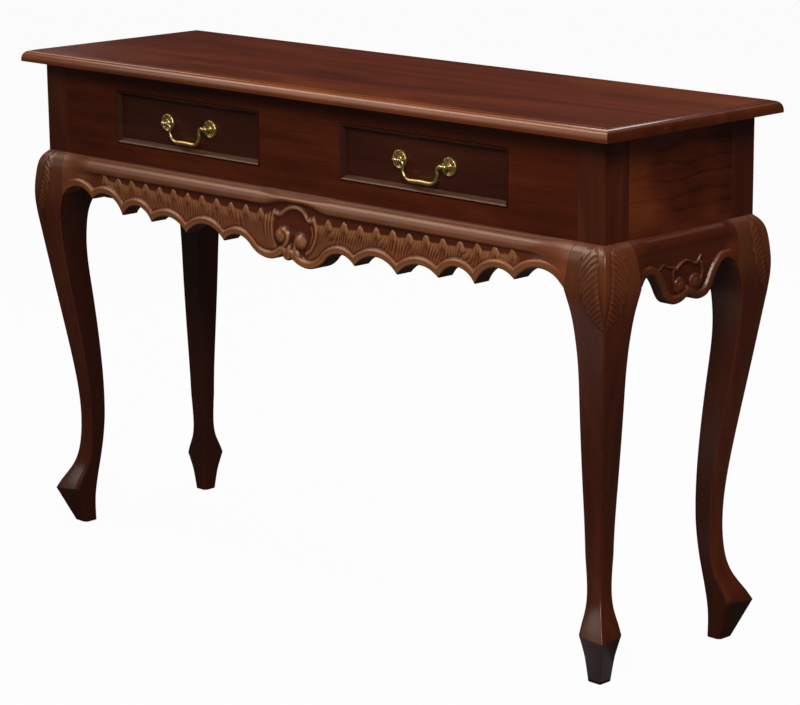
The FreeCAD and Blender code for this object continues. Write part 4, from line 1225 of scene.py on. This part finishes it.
@dataclass
class FrontApron(Apron):
    """The front apron: a scalloped edge, a band of knobbed leaves and a scrolled middle.

    Attributes:
        middle: Place of the middle of the scallops, which is left of the middle of the table.
        row_middle: Place of the middle of the row of leaves.
        row_reach: Distance of the ends of the row from its middle.
        teeth: Leaves on each side of the middle.
        first_tooth: Distance of the first leaf from the middle of the row.
        pitch: Distance between leaves.
        flute: Distance between the fine flutes.
    """

    middle: float = -13.5
    row_middle: float = -1.0
    row_reach: float = 464.0
    teeth: int = 12
    first_tooth: float = 74.5
    pitch: float = 34.0
    flute: float = 6.2

    CUSPS = ((466, 570, 0.25), (390, 552.5, 0.28), (318, 551, 0.197), (234, 543.7, 0.222),
             (145.1, 543.8, 0.2))
    EAR_RISE = 0.229
    ARCH_HEIGHT = 9.5
    ARCH_MIDDLE = 2.0
    ARCH_REACH = 52.0
    LOBE_TOP = (84.0, 546.0)
    LEAF_CORNERS = ((-11.5, 541, -0.36), (7.5, 537.5, -0.21))
    LOBE_RISE = -0.186
    VALLEY = 596.5
    VALLEY_RISE = 0.7
    KNOB_WIDTH = 6.4
    KNOB_HEIGHT = 9.2
    KNOB_RELIEF = 2.5
    LEAF_RELIEF = 0.9
    SWELL = 1.2
    FLUTE_DEPTH = 1.3
    FIELD = Oval((-2, 574), (54, 43))
    HOLLOW = Oval((-3, 592), (34, 22))
    HOLLOW_DEPTH = 1.6
    RAISED = (
        Dome((-11.5, 544), (9.0, 15.0), 6.2, 0.7),
        Dome((-29, 568), (1.12 * 14.0, 0.92 * 14.0), 7.2, 0.65, (0.5, 0.7, 0.1)),
        Dome((13, 564), (1.12 * 13.5, 0.92 * 13.5), 7.2, 0.65, (0.5, 0.7, 0.1)),
        Ridge(((-45, 603), (-39, 601), (-33, 600.5), (-25, 605), (-15, 611), (-3, 614.5), (7, 615),
               (17, 612.5), (25, 606), (30, 599), (35, 598), (43, 601.5)), (3.6, 4.0), (4.6, 5.4)),
        Ridge(((43, 601.5), (47, 592), (48.5, 582), (46, 571), (40, 560), (32, 551), (25, 547.5)),
              (4.2, 3.4), (5.2, 4.4)),
        Ridge(((37, 590), (39.5, 581), (38, 571), (33, 561), (27, 554)), (3.0, 2.6), (3.0, 2.6)),
        Ridge(((-45, 603), (-49, 592), (-50.5, 578), (-48, 563), (-41, 549.5)), (3.8, 3.0), (4.8, 3.8)),
        Ridge(((-55, 597), (-57, 580), (-54, 563), (-47, 549)), (3.2, 2.8), (5.0, 4.2)),
        Ridge(((-62.5, 594), (-64, 578), (-60.5, 562), (-53.5, 549)), (3.2, 2.8), (5.0, 4.2)),
        Ridge(((-70, 538), (-55, 536.5), (-41, 538.5), (-30, 545.5), (-22, 554), (-16, 562), (-14.5, 570),
               (-18, 576.5), (-25, 579.5)), (7.4, 3.0), (6.2, 6.0)),
        Ridge(((45, 533.5), (30, 531), (17, 533.5), (8, 541), (2.5, 549), (1, 557), (2.5, 564)),
              (7.4, 3.6), (6.4, 5.6)),
    )

    def corners(self) -> Points:
        """Corners of the lower edge, with the small leaf in the middle as a lobe of its own."""
        ear = self.half_span - (EAR_REACH - POST)
        reach, top = self.LOBE_TOP
        rises = [rise for _, _, rise in self.CUSPS]
        back = [*rises[-2::-1], self.EAR_RISE]
        left = [(self.middle - u, z, rise) for u, z, rise in self.CUSPS]
        right = [(self.middle + u, z, rise) for (u, z, _), rise in zip(self.CUSPS[::-1], back)]
        middle = [(self.middle - reach, top, self.LOBE_RISE),
                  *((self.middle + u, z, rise) for u, z, rise in self.LEAF_CORNERS),
                  (self.middle + reach, top, rises[-1])]
        return [(-ear, EAR, self.EAR_RISE), *left, *middle, *right, (ear, EAR, 0)]

    def edge(self) -> np.ndarray:
        """Places along the scalloped lower edge."""
        return arc_line(self.corners(), self.step)

    def cornice_lift(self, across: np.ndarray) -> np.ndarray:
        """The cornice arches over the scrolled middle."""
        return self.ARCH_HEIGHT * np.exp(-(((across - self.ARCH_MIDDLE) / self.ARCH_REACH) ** 4))

    def reach(self, across: np.ndarray) -> np.ndarray:
        """Distance from the middle of the row of leaves."""
        return np.abs(across - self.row_middle)

    def cove_fade(self, across: np.ndarray) -> np.ndarray:
        """The cove runs out past the last leaf."""
        return eased((self.reach(across) - (self.row_reach - 2)) / 50)

    def leaves(self, across: np.ndarray) -> tuple[np.ndarray, np.ndarray, np.ndarray]:
        """The knobbed upper edge of the band of leaves.

        Args:
            across: Place across the apron.

        Returns:
            Height of the edge between the knobs, height of its outline over them, and how near a place is to
            the middle of a knob, from 0 to 1.
        """
        reach = self.reach(across)
        number = np.clip(np.round((reach - self.first_tooth) / self.pitch), 0, self.teeth - 1)
        off = np.abs(reach - self.first_tooth - number * self.pitch)
        bell = np.exp(-((off / self.KNOB_WIDTH) ** 2.8))
        valley = self.VALLEY + self.VALLEY_RISE * number
        return valley, valley + (self.KNOB_HEIGHT + np.sin(2.3 * number)) * bell, bell

    def band(self, across: np.ndarray) -> np.ndarray:
        """Where the band of leaves runs, from 0 to 1."""
        return eased((self.row_reach - self.reach(across)) / 14)

    def field(self, across: np.ndarray, up: np.ndarray) -> np.ndarray:
        """The oval that the scrolled middle fills, from 0 to 1."""
        return eased((1.0 - self.FIELD.away(across, up)) / 0.2)

    def wear_and_sheen(self, across: np.ndarray, up: np.ndarray, out: np.ndarray) -> np.ndarray:
        """The band of leaves and the cornice are lighter too: partly rubbed wear, partly a painted sheen and
        highlight where they face the light.
        """
        _, line, bell = self.leaves(across)
        strip = eased((line - up) / 2.5) * self.band(across) * (1 - self.field(across, up))
        strip = strip * (0.9 + 0.1 * bell) * (1 - 0.8 * eased((line - up) / 22))
        plain = np.clip((out - 11.2) / 7, -0.1, 0.4)
        plain = plain * np.where(up > 607, 0.45, 1.0) * eased((638 - up) / 10)
        return np.maximum(plain, strip)

    def carve(self, relief: np.ndarray, across: np.ndarray, up: np.ndarray) -> np.ndarray:
        """The band of leaves with fine flutes, and the scrolled middle over it."""
        valley, line, bell = self.leaves(across)
        below = line - up
        knob = self.KNOB_RELIEF * np.sqrt(bell) * eased(below / 3.2) * (1 - eased((below - 8) / 16))
        body = self.LEAF_RELIEF * eased((valley - up) / 16 + 0.2) * (up < line)
        body = np.maximum(body + self.SWELL * np.clip((valley - up) / 36, 0, 1), knob)
        waver = 0.7 * np.sin(across / 23.0) + 0.45 * np.sin(across / 9.1 + up / 15.0)
        flute_place = (self.reach(across) + 0.3 * below) / self.flute + waver
        flute = np.abs(np.sin(math.pi * flute_place)) ** 0.75
        worn = eased((below - 2.0) / 6.0) * eased((44 - below) / 22)
        worn = worn * (0.62 + 0.38 * np.sin(across / 6.3 + up / 9.0) * np.sin(across / 15.0 - up / 21.0))
        strip = body - self.FLUTE_DEPTH * (1 - flute) * worn
        return self.scroll(relief + strip * self.band(across), across, up)

    def scroll(self, out: np.ndarray, across: np.ndarray, up: np.ndarray) -> np.ndarray:
        """Carves the scrolled middle.

        Args:
            out: How far the surface stands out.
            across: Place across the apron.
            up: Height.

        Returns:
            How far the carved surface stands out.
        """
        out = out + (self.GROUND - out) * self.field(across, up)
        out = out - self.HOLLOW_DEPTH * eased((1 - self.HOLLOW.away(across, up)) / 0.6)
        for carving in self.RAISED:
            carving.raise_on(out, across, up, self.BED)
        near = eased((80 - np.abs(across)) / 10)
        return out + (blurred(out, 1, 3) - out) * near


@dataclass
class SideApron(Apron):
    """A side apron: a deep lobe with two scrolls between two arches."""

    SECTION = ((520, 11.4), (590, 11.6), (602, 12.2), (612, 13.2), (620, 13.6), (625, 12.8), (629, 10.8),
               (632, 8.2), (634.5, 5.0), (635.6, 2.2), (636, 0.0))
    FIELD = Oval((1, 568), (42, 26))
    FLUTE = 5.2
    RAISED = (
        Dome((-16, 560.5), (12.5, 12.5), 6.8, 0.4, (1.6, 0.62, 0.12)),
        Dome((17, 561.5), (12.5, 12.5), 6.8, 0.4, (1.6, 0.62, 0.12)),
        Dome((0, 549), (6.5, 10.0), 7.5, 0.5),
        Ridge(((-26, 584), (-17, 590), (-6, 594.5), (6, 592), (15, 587.5), (23, 590), (29, 598)),
              (2.6, 2.2), (5.5, 4.5)),
        Ridge(((-66, 588), (-58, 590), (-51, 595), (-46, 592), (-36, 589), (-27, 586)), (2.0, 2.2),
              (3.5, 4.5)),
        Ridge(((-29, 588), (-31, 577), (-29, 566), (-24, 556), (-15, 549.5)), (2.2, 2.0), (4.5, 4.5)),
        Ridge(((30, 588), (33, 577), (31, 566), (27, 556), (19, 550)), (2.2, 2.0), (4.5, 4.5)),
    )
    HALF_EDGE = ((9, 539.5), (20, 536), (34, 536.5), (45, 542), (53, 552), (61, 566.5), (69, 577),
                 (79, 584), (89, 584), (98, 578.5), (105, 570))
    LOBE_TOP = (0, 543.5)

    def edge(self) -> np.ndarray:
        """Places along the smooth lower edge, at even steps across."""
        left = [(-x, z) for x, z in reversed(self.HALF_EDGE)]
        curve = smooth_line([*left, self.LOBE_TOP, *self.HALF_EDGE], 900)
        across = np.linspace(curve[0, 0], curve[-1, 0], int(2 * curve[-1, 0] / self.step) + 1)
        return np.stack([across, looked_up(curve, across)], axis=-1)

    def carve(self, relief: np.ndarray, across: np.ndarray, up: np.ndarray) -> np.ndarray:
        """Two scrolls under an arched leaf."""
        flute = np.abs(np.sin(math.pi * (across / self.FLUTE + 0.4 * np.sin(up / 6))))
        field = eased((1 - self.FIELD.away(across, up)) / 0.3)
        out = relief + field * (0.8 * flute - 0.6)
        for carving in self.RAISED:
            carving.raise_on(out, across, up, self.BED)
        return out


# Drawers and handles


@dataclass
class DrawerFront:
    """A drawer front with a thin lip, a sloping border and a sunk panel.

    Attributes:
        hand: left or right.
        lip: Width of the lip.
        slope: Width of the sloping border.
        sink: How far the border goes in.
        step: Depth of the step at the panel.
    """

    hand: str
    lip: float = 2.0
    slope: float = 5.4
    sink: float = 7.3
    step: float = 1.2

    SLOPE_STEPS = ((0.18, 0.12), (0.32, 0.30), (0.32, 0.34), (0.18, 0.24))
    END_GAP = 0.05
    EDGE_STRIP = 0.5
    ARRIS = (0.3, 0.2)
    PANEL_EDGE = 0.25
    BEVEL = 0.4
    SHORTEST_BEVEL = 70.0
    # Painted shade on the sloping border and a painted highlight on its lower side.
    BORDER_PAINTED_SHADE = -0.7
    BORDER_PAINTED_HIGHLIGHT = 0.7

    def build(self) -> bpy.types.Object:
        """Shapes the front from a blank."""
        low, high = (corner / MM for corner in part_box(self.hand + "_drawer_front"))
        front = block(self.hand + "_drawer_front_board", (low.x + self.END_GAP, low.y, low.z),
                      (high.x - self.END_GAP, high.y, high.z))
        with Bench(front) as bench:
            bench.pick(lambda face: face.normal.y < -0.9)
            bench.step(self.EDGE_STRIP, 0.0)
            bench.step(self.lip - self.EDGE_STRIP - self.ARRIS[0], 0.0)
            bench.step(self.ARRIS[0], -self.ARRIS[1])
            for inward, downward in self.SLOPE_STEPS:
                bench.step(self.slope * inward, -(self.sink - self.ARRIS[1]) * downward)
            bench.step(self.PANEL_EDGE, -self.step)
            bench.pick_edges(lambda edge: all(v.co.y < low.y * MM + 1e-5 for v in edge.verts)
                             and any(f.normal.y > -0.5 for f in edge.link_faces)
                             and any(f.normal.y < -0.9 for f in edge.link_faces)
                             and edge.calc_length() > self.SHORTEST_BEVEL * MM)
            bpy.ops.mesh.bevel(offset=self.BEVEL * MM, segments=2, affect="EDGES")
        reach = (high.x - low.x) / 2 - self.lip, (high.z - low.z) / 2 - self.lip
        middle = (low + high) / 2

        def stain_and_light(face: bpy.types.MeshPolygon) -> float:
            """Painted shade on the sloping border, and a painted highlight on its lower, upward-facing side.
            """
            off = face.center / MM - middle
            if face.normal.y < -0.95 or abs(off.x) > reach[0] or abs(off.z) > reach[1]:
                return 0.0
            return self.BORDER_PAINTED_HIGHLIGHT if face.normal.z > 0.3 else self.BORDER_PAINTED_SHADE

        mark_stain_and_light(front, stain_and_light)
        return front

    def dress(self, finishes: Finishes) -> None:
        """Builds the front and gives it its finish."""
        drawer = self.hand + "_drawer"
        finish_piece(self.build(), drawer, [drawer + "_front"], finishes.drawer)


@dataclass
class Handle:
    """The rosettes and the swinging bail of one drawer.

    Attributes:
        hand: left or right.
        spacing: Distance between the posts.
        petals: Petals of a rosette.
        drop: How far the grip hangs below the pins.
    """

    hand: str
    spacing: float = 100.0
    petals: int = 8
    drop: float = 26.5

    BOSS = 5.5
    DISH = ((0, 4.4), (4.5, 4.4), (BOSS, 2.4), (7.5, 2.0), (10.5, 2.7), (12.6, 3.7), (13.6, 3.4),
            (14.5, 1.6))
    STAIN_DEPTH = 0.45
    PIN_RADIUS = 1.6
    SHANK_MORE = 0.85
    GRIP_MORE = 0.9
    COLLAR_MORE = 1.15
    SMOOTH_ANGLE = 60.0

    def pivot(self) -> Vector:
        """The middle of the bail's pivot line, in millimetres."""
        joint = next(j for j in frame["joints"] if j["name"] == self.hand + "_bail_swing")
        return Vector(joint["pos_m"]) / MM

    def rosette_height(self, out: np.ndarray, turn: np.ndarray) -> np.ndarray:
        """Height of a rosette at a distance from its middle and an angle."""
        petal = np.abs(np.cos(self.petals * turn / 2))
        vein = np.abs(np.sin(self.petals * turn * 1.5))
        leafy = eased((out - self.BOSS) / 2) * eased((14.2 - out) / 1.5)
        return looked_up(self.DISH, out) + leafy * (0.9 * petal - 0.55 + 0.25 * vein)

    def rosettes(self) -> bpy.types.Object:
        """Both rosettes as one piece."""
        low, high = (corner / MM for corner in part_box(self.hand + "_handle_rosettes"))
        radius = (high.z - low.z) / 2
        out = np.concatenate([np.linspace(0, self.BOSS, 6), np.linspace(6, radius, 20)])[:, None]
        turn = np.linspace(0, 2 * math.pi, 97)[None, :]
        scallop = 1 - 0.035 * (1 - np.abs(np.cos(self.petals * turn / 2))) * eased((out - 11) / 3)
        tall = self.rosette_height(out, turn) * np.ones_like(turn)
        hollow = np.clip((tall - blurred(tall, 3)) / self.STAIN_DEPTH, -1, 1)
        made = []
        for x in (low.x + radius, high.x - radius):
            places = np.stack([x + out * scallop * np.cos(turn), high.y - tall,
                               (low.z + high.z) / 2 + out * scallop * np.sin(turn)], axis=-1)
            disc = sheet(self.hand + "_rosettes_cast", places, hollow)
            with Bench(disc) as bench:
                bench.merge()
                bench.close_back(1, high.y)
            made.append(disc)
        take(made[1])
        made[0].select_set(True)
        bpy.context.view_layer.objects.active = made[0]
        bpy.ops.object.join()
        return made[0]

    def bail_line(self) -> tuple[np.ndarray, np.ndarray]:
        """The middle line of the bail from pin to pin, and its radius along it."""
        half = self.spacing / 2
        right = [(half + 4.6, 0), (half - 2, 0), (half - 9, 0), (half - 13.6, -1.4), (half - 15.8, -5.5),
                 (half - 15.0, -11.0), (half - 16.2, -17), (half - 21.5, -23.6), (half - 29, -self.drop),
                 (12, -self.drop)]
        line = right + [(-x, z) for x, z in reversed(right)]
        curve = smooth_line(line, 220)
        share = np.abs(curve[:, 0]) / half
        lower = eased((-curve[:, 1] - 20) / 6)
        thick = self.PIN_RADIUS + self.SHANK_MORE * eased((0.93 - share) / 0.05)
        thick = thick + lower * self.GRIP_MORE * eased((0.62 - share) / 0.4)
        collar = np.exp(-(((np.abs(curve[:, 0]) - (half - 8.2)) / 2.6) ** 4)) * (curve[:, 1] > -3)
        return curve, thick + self.COLLAR_MORE * collar

    def bail(self) -> bpy.types.Object:
        """The bail as a bar of changing thickness."""
        curve, thick = self.bail_line()
        middle = self.pivot()
        run = np.gradient(curve, axis=0)
        run /= np.linalg.norm(run, axis=1)[:, None]
        turn = np.linspace(0, 2 * math.pi, 19)[None, :]
        side = thick[:, None] * np.cos(turn)
        places = np.stack([middle.x + curve[:, :1] - run[:, 1:] * side,
                           middle.y + thick[:, None] * np.sin(turn),
                           middle.z + curve[:, 1:] + run[:, :1] * side], axis=-1)
        bar = sheet(self.hand + "_bail_cast", places)
        with Bench(bar) as bench:
            bench.join_seam()
        return bar

    def dress(self, finishes: Finishes) -> None:
        """Builds the rosettes and the bail and gives them their finish."""
        bail = self.hand + "_bail"
        for piece, body, node in ((self.rosettes(), self.hand + "_drawer", self.hand + "_handle_rosettes"),
                                  (self.bail(), bail, bail)):
            finish_piece(piece, body, [node], finishes.brass, self.SMOOTH_ANGLE)


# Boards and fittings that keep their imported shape


@dataclass
class Carcase:
    """The boards and fittings that show as they were packed."""

    def finish_of(self, name: str, finishes: Finishes) -> bpy.types.Material:
        """The finish of one node, by the first part of its name that tells."""
        told = {"front_": finishes.fascia, "back_panel": finishes.fascia, "rear_apron": finishes.fascia,
                "side_panel": finishes.panel, "screws": finishes.steel, "post": finishes.brass,
                "nut": finishes.brass, "drawer_back": finishes.inner_length,
                "bottom": finishes.inner_length, "stops": finishes.inner_length}
        return next((material for part, material in told.items() if part in name), finishes.inner_depth)

    def dress(self, finishes: Finishes) -> None:
        """Gives every node that still shows its finish."""
        for name, node in frame["nodes"].items():
            if node.hide_render:
                continue
            node.data.materials.clear()
            node.data.materials.append(self.finish_of(name, finishes))
            LOG.info("%s keeps its packed shape", name)


# Studio


@dataclass(frozen=True)
class Lamp:
    """A soft lamp.

    Attributes:
        name: Name of the lamp.
        place: Where it hangs, in metres.
        aim: The point that it faces.
        size: Width and height, in metres.
        watts: Its power.
        colour: Colour of its light.
        shine_only: Whether it shows only in the shine of the lacquer.
    """

    name: str
    place: tuple[float, float, float]
    aim: tuple[float, float, float]
    size: tuple[float, float]
    watts: float
    colour: Colour = (1.0, 0.93, 0.86)
    shine_only: bool = False

    def hang(self) -> None:
        """Adds the lamp to the scene."""
        data = bpy.data.lights.new(self.name, "AREA")
        data.shape = "RECTANGLE"
        data.size, data.size_y = self.size
        data.energy = self.watts
        data.color = self.colour
        lamp = bpy.data.objects.new(self.name, data)
        lamp.location = self.place
        lamp.rotation_euler = (Vector(self.aim) - Vector(self.place)).to_track_quat("-Z", "Y").to_euler()
        lamp.visible_diffuse = not self.shine_only
        lamp.visible_camera = False
        bpy.context.scene.collection.objects.link(lamp)


@dataclass
class Studio:
    """Floor, light and camera.

    Attributes:
        width: Width of the picture in pixels.
        height: Height of the picture in pixels.
        focal: Focal length in pixels.
        centre: Principal point in pixels.
        place: Place of the camera, in millimetres.
        azimuth: Angle of the view round the table.
        elevation: Angle of the view above the horizon.
        roll: Turn of the picture.
    """

    width: float = 800.0
    height: float = 705.0
    focal: float = 2837.3
    centre: tuple[float, float] = (414.6, 362.3)
    place: tuple[float, float, float] = (3091.2, -3005.9, 1386.3)
    azimuth: float = 0.7864
    elevation: float = 0.2369
    roll: float = -0.0085

    AMBER = (1.0, 0.80, 0.62)
    COOL = (0.9, 0.88, 1.0)
    LAMPS = (
        Lamp("overhead", (0.0, 0.1, 3.0), (0.0, 0.1, 0.8), (2.4, 1.6), 29.0),
        Lamp("back_high", (-0.6, 1.9, 2.9), (-0.1, 0.1, 0.6), (1.2, 1.0), 18.0),
        Lamp("front_high", (1.6, -1.9, 2.4), (0.2, -0.1, 0.6), (1.3, 1.2), 48.0),
        Lamp("right_high", (2.3, -0.9, 3.2), (0.4, 0.0, 0.6), (1.4, 1.2), 14.0),
        Lamp("left_high", (-2.1, -1.38, 2.75), (-2.1, -0.58, 0.75), (2.3, 1.1), 37.0, AMBER, True),
        Lamp("left_bank", (-2.5, -2.6, 1.9), (0.0, -0.1, 0.7), (1.4, 1.4), 10.0, shine_only=True),
        Lamp("left_back", (-2.9, 1.2, 2.0), (-0.4, -0.1, 0.8), (0.9, 0.9), 4.0, shine_only=True),
        Lamp("right_back", (1.05, 2.1, 2.8), (0.6, 0.0, 0.75), (1.0, 1.0), 1.6, shine_only=True),
        Lamp("floor_glow", (-0.3, -1.15, 0.004), (-0.3, -1.15, 1.0), (0.8, 0.6), 0.5, shine_only=True),
        Lamp("foot_card", (0.48, -0.26, 0.004), (0.48, -0.26, 1.0), (0.36, 0.36), 0.06, COOL, True),
    )
    SHINE_SHARE = 0.02
    DIM_LIGHT = 0.15
    FLOOR_SIZE = 60.0
    FLOOR_WHITE = 0.96
    SENSOR = 36.0

    def camera(self) -> None:
        """Sets up the camera."""
        az, el = self.azimuth, self.elevation
        ahead = Vector((-math.sin(az) * math.cos(el), math.cos(az) * math.cos(el), -math.sin(el)))
        right = Vector((math.cos(az), math.sin(az), 0))
        up = right.cross(ahead)
        across = right * math.cos(self.roll) + up * math.sin(self.roll)
        above = up * math.cos(self.roll) - right * math.sin(self.roll)
        data = bpy.data.cameras.new("camera")
        data.sensor_width = self.SENSOR
        data.lens = self.focal / self.width * self.SENSOR
        data.shift_x = (self.width / 2 - self.centre[0]) / self.width
        data.shift_y = (self.centre[1] - self.height / 2) / self.width
        data.clip_end = 100
        camera = bpy.data.objects.new("camera", data)
        turn = Matrix((across, above, -ahead)).transposed()
        camera.matrix_world = Matrix.Translation(Vector(self.place) * MM) @ turn.to_4x4()
        bpy.context.scene.collection.objects.link(camera)
        bpy.context.scene.camera = camera

    def background_share(self, nodes: Nodes) -> tuple[Value, Value]:
        """What a ray sees.

        Args:
            nodes: The tree that asks.

        Returns:
            The share of the white background, and 1 on a ray that a shine sends out.
        """
        path = nodes.add("ShaderNodeLightPath")
        seen = Value(nodes, path.outputs["Is Camera Ray"])
        clear = Value(nodes, path.outputs["Is Transmission Ray"])
        shine = Value(nodes, path.outputs["Is Glossy Ray"])
        return (seen + clear + shine * self.SHINE_SHARE).held(), shine

    def floor(self) -> None:
        """Adds the pale floor, which keeps the shadow of the table."""
        clear_selection()
        bpy.ops.mesh.primitive_plane_add(size=self.FLOOR_SIZE)
        floor = bpy.context.active_object
        floor.name = "floor"
        made, nodes = new_material("pale_floor")
        share, shine = self.background_share(nodes)
        grey = nodes.mixed(shine, (0.2, 0.2, 0.2), (0.03, 0.03, 0.03))
        matt = nodes.add("ShaderNodeBsdfDiffuse", None, {"Color": grey})
        pale = nodes.add("ShaderNodeBsdfDiffuse", None, {"Color": (0.9, 0.9, 0.9, 1)})
        white = nodes.add("ShaderNodeEmission", None, {"Color": (1, 1, 1, 1), "Strength": 1.0})
        mixed = nodes.mixed_shader(share, matt, nodes.mixed_shader(self.FLOOR_WHITE, pale, white))
        nodes.add("ShaderNodeOutputMaterial", None, {"Surface": mixed.outputs[0]})
        floor.data.materials.append(made)

    def world(self) -> None:
        """Sets up the white surroundings, which light the table only a little."""
        world = bpy.data.worlds.new("studio")
        world.use_nodes = True
        bpy.context.scene.world = world
        nodes = Nodes(world.node_tree)
        share, shine = self.background_share(nodes)
        dim, white = (nodes.add("ShaderNodeBackground", None, {"Color": (1, 1, 1, 1), "Strength": strength})
                      for strength in (self.DIM_LIGHT * (1.0 - shine), 1.0))
        mixed = nodes.mixed_shader(share, dim, white)
        nodes.add("ShaderNodeOutputWorld", None, {"Surface": mixed.outputs[0]})

    def build(self) -> None:
        """Builds the studio."""
        bpy.context.scene.view_settings.view_transform = "Standard"
        self.camera()
        self.floor()
        self.world()
        for lamp in self.LAMPS:
            lamp.hang()


def main() -> None:
    """Builds the table and the studio."""
    logging.basicConfig(level=logging.INFO, format="%(message)s")
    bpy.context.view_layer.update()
    finishes = Finishes()
    parts = [TableTop()]
    narrow = {"leaf_share": 0.6, "strip": 19.0}
    parts += [Leg("leg_front_right", 1, -1, toe_lift=14.0, foot_rise=1.0),
              Leg("leg_rear_right", 1, 1, **narrow),
              Leg("leg_front_left", -1, -1, shade=0.3, **narrow),
              Leg("leg_rear_left", -1, 1, **narrow)]
    parts.append(FrontApron(Side.FRONT, HALF_LENGTH - POST, HALF_DEPTH, 1.0, 84, 70.0, 15.0))
    for side in (Side.RIGHT, Side.LEFT):
        parts.append(SideApron(side, HALF_DEPTH - POST, HALF_LENGTH, 1.0, 90, 30.0, 3.0))
    for hand in ("left", "right"):
        parts += [DrawerFront(hand), Handle(hand)]
    parts.append(Carcase())
    for part in parts:
        part.dress(finishes)
    Studio().build()


if __name__ == "__main__":
    main()
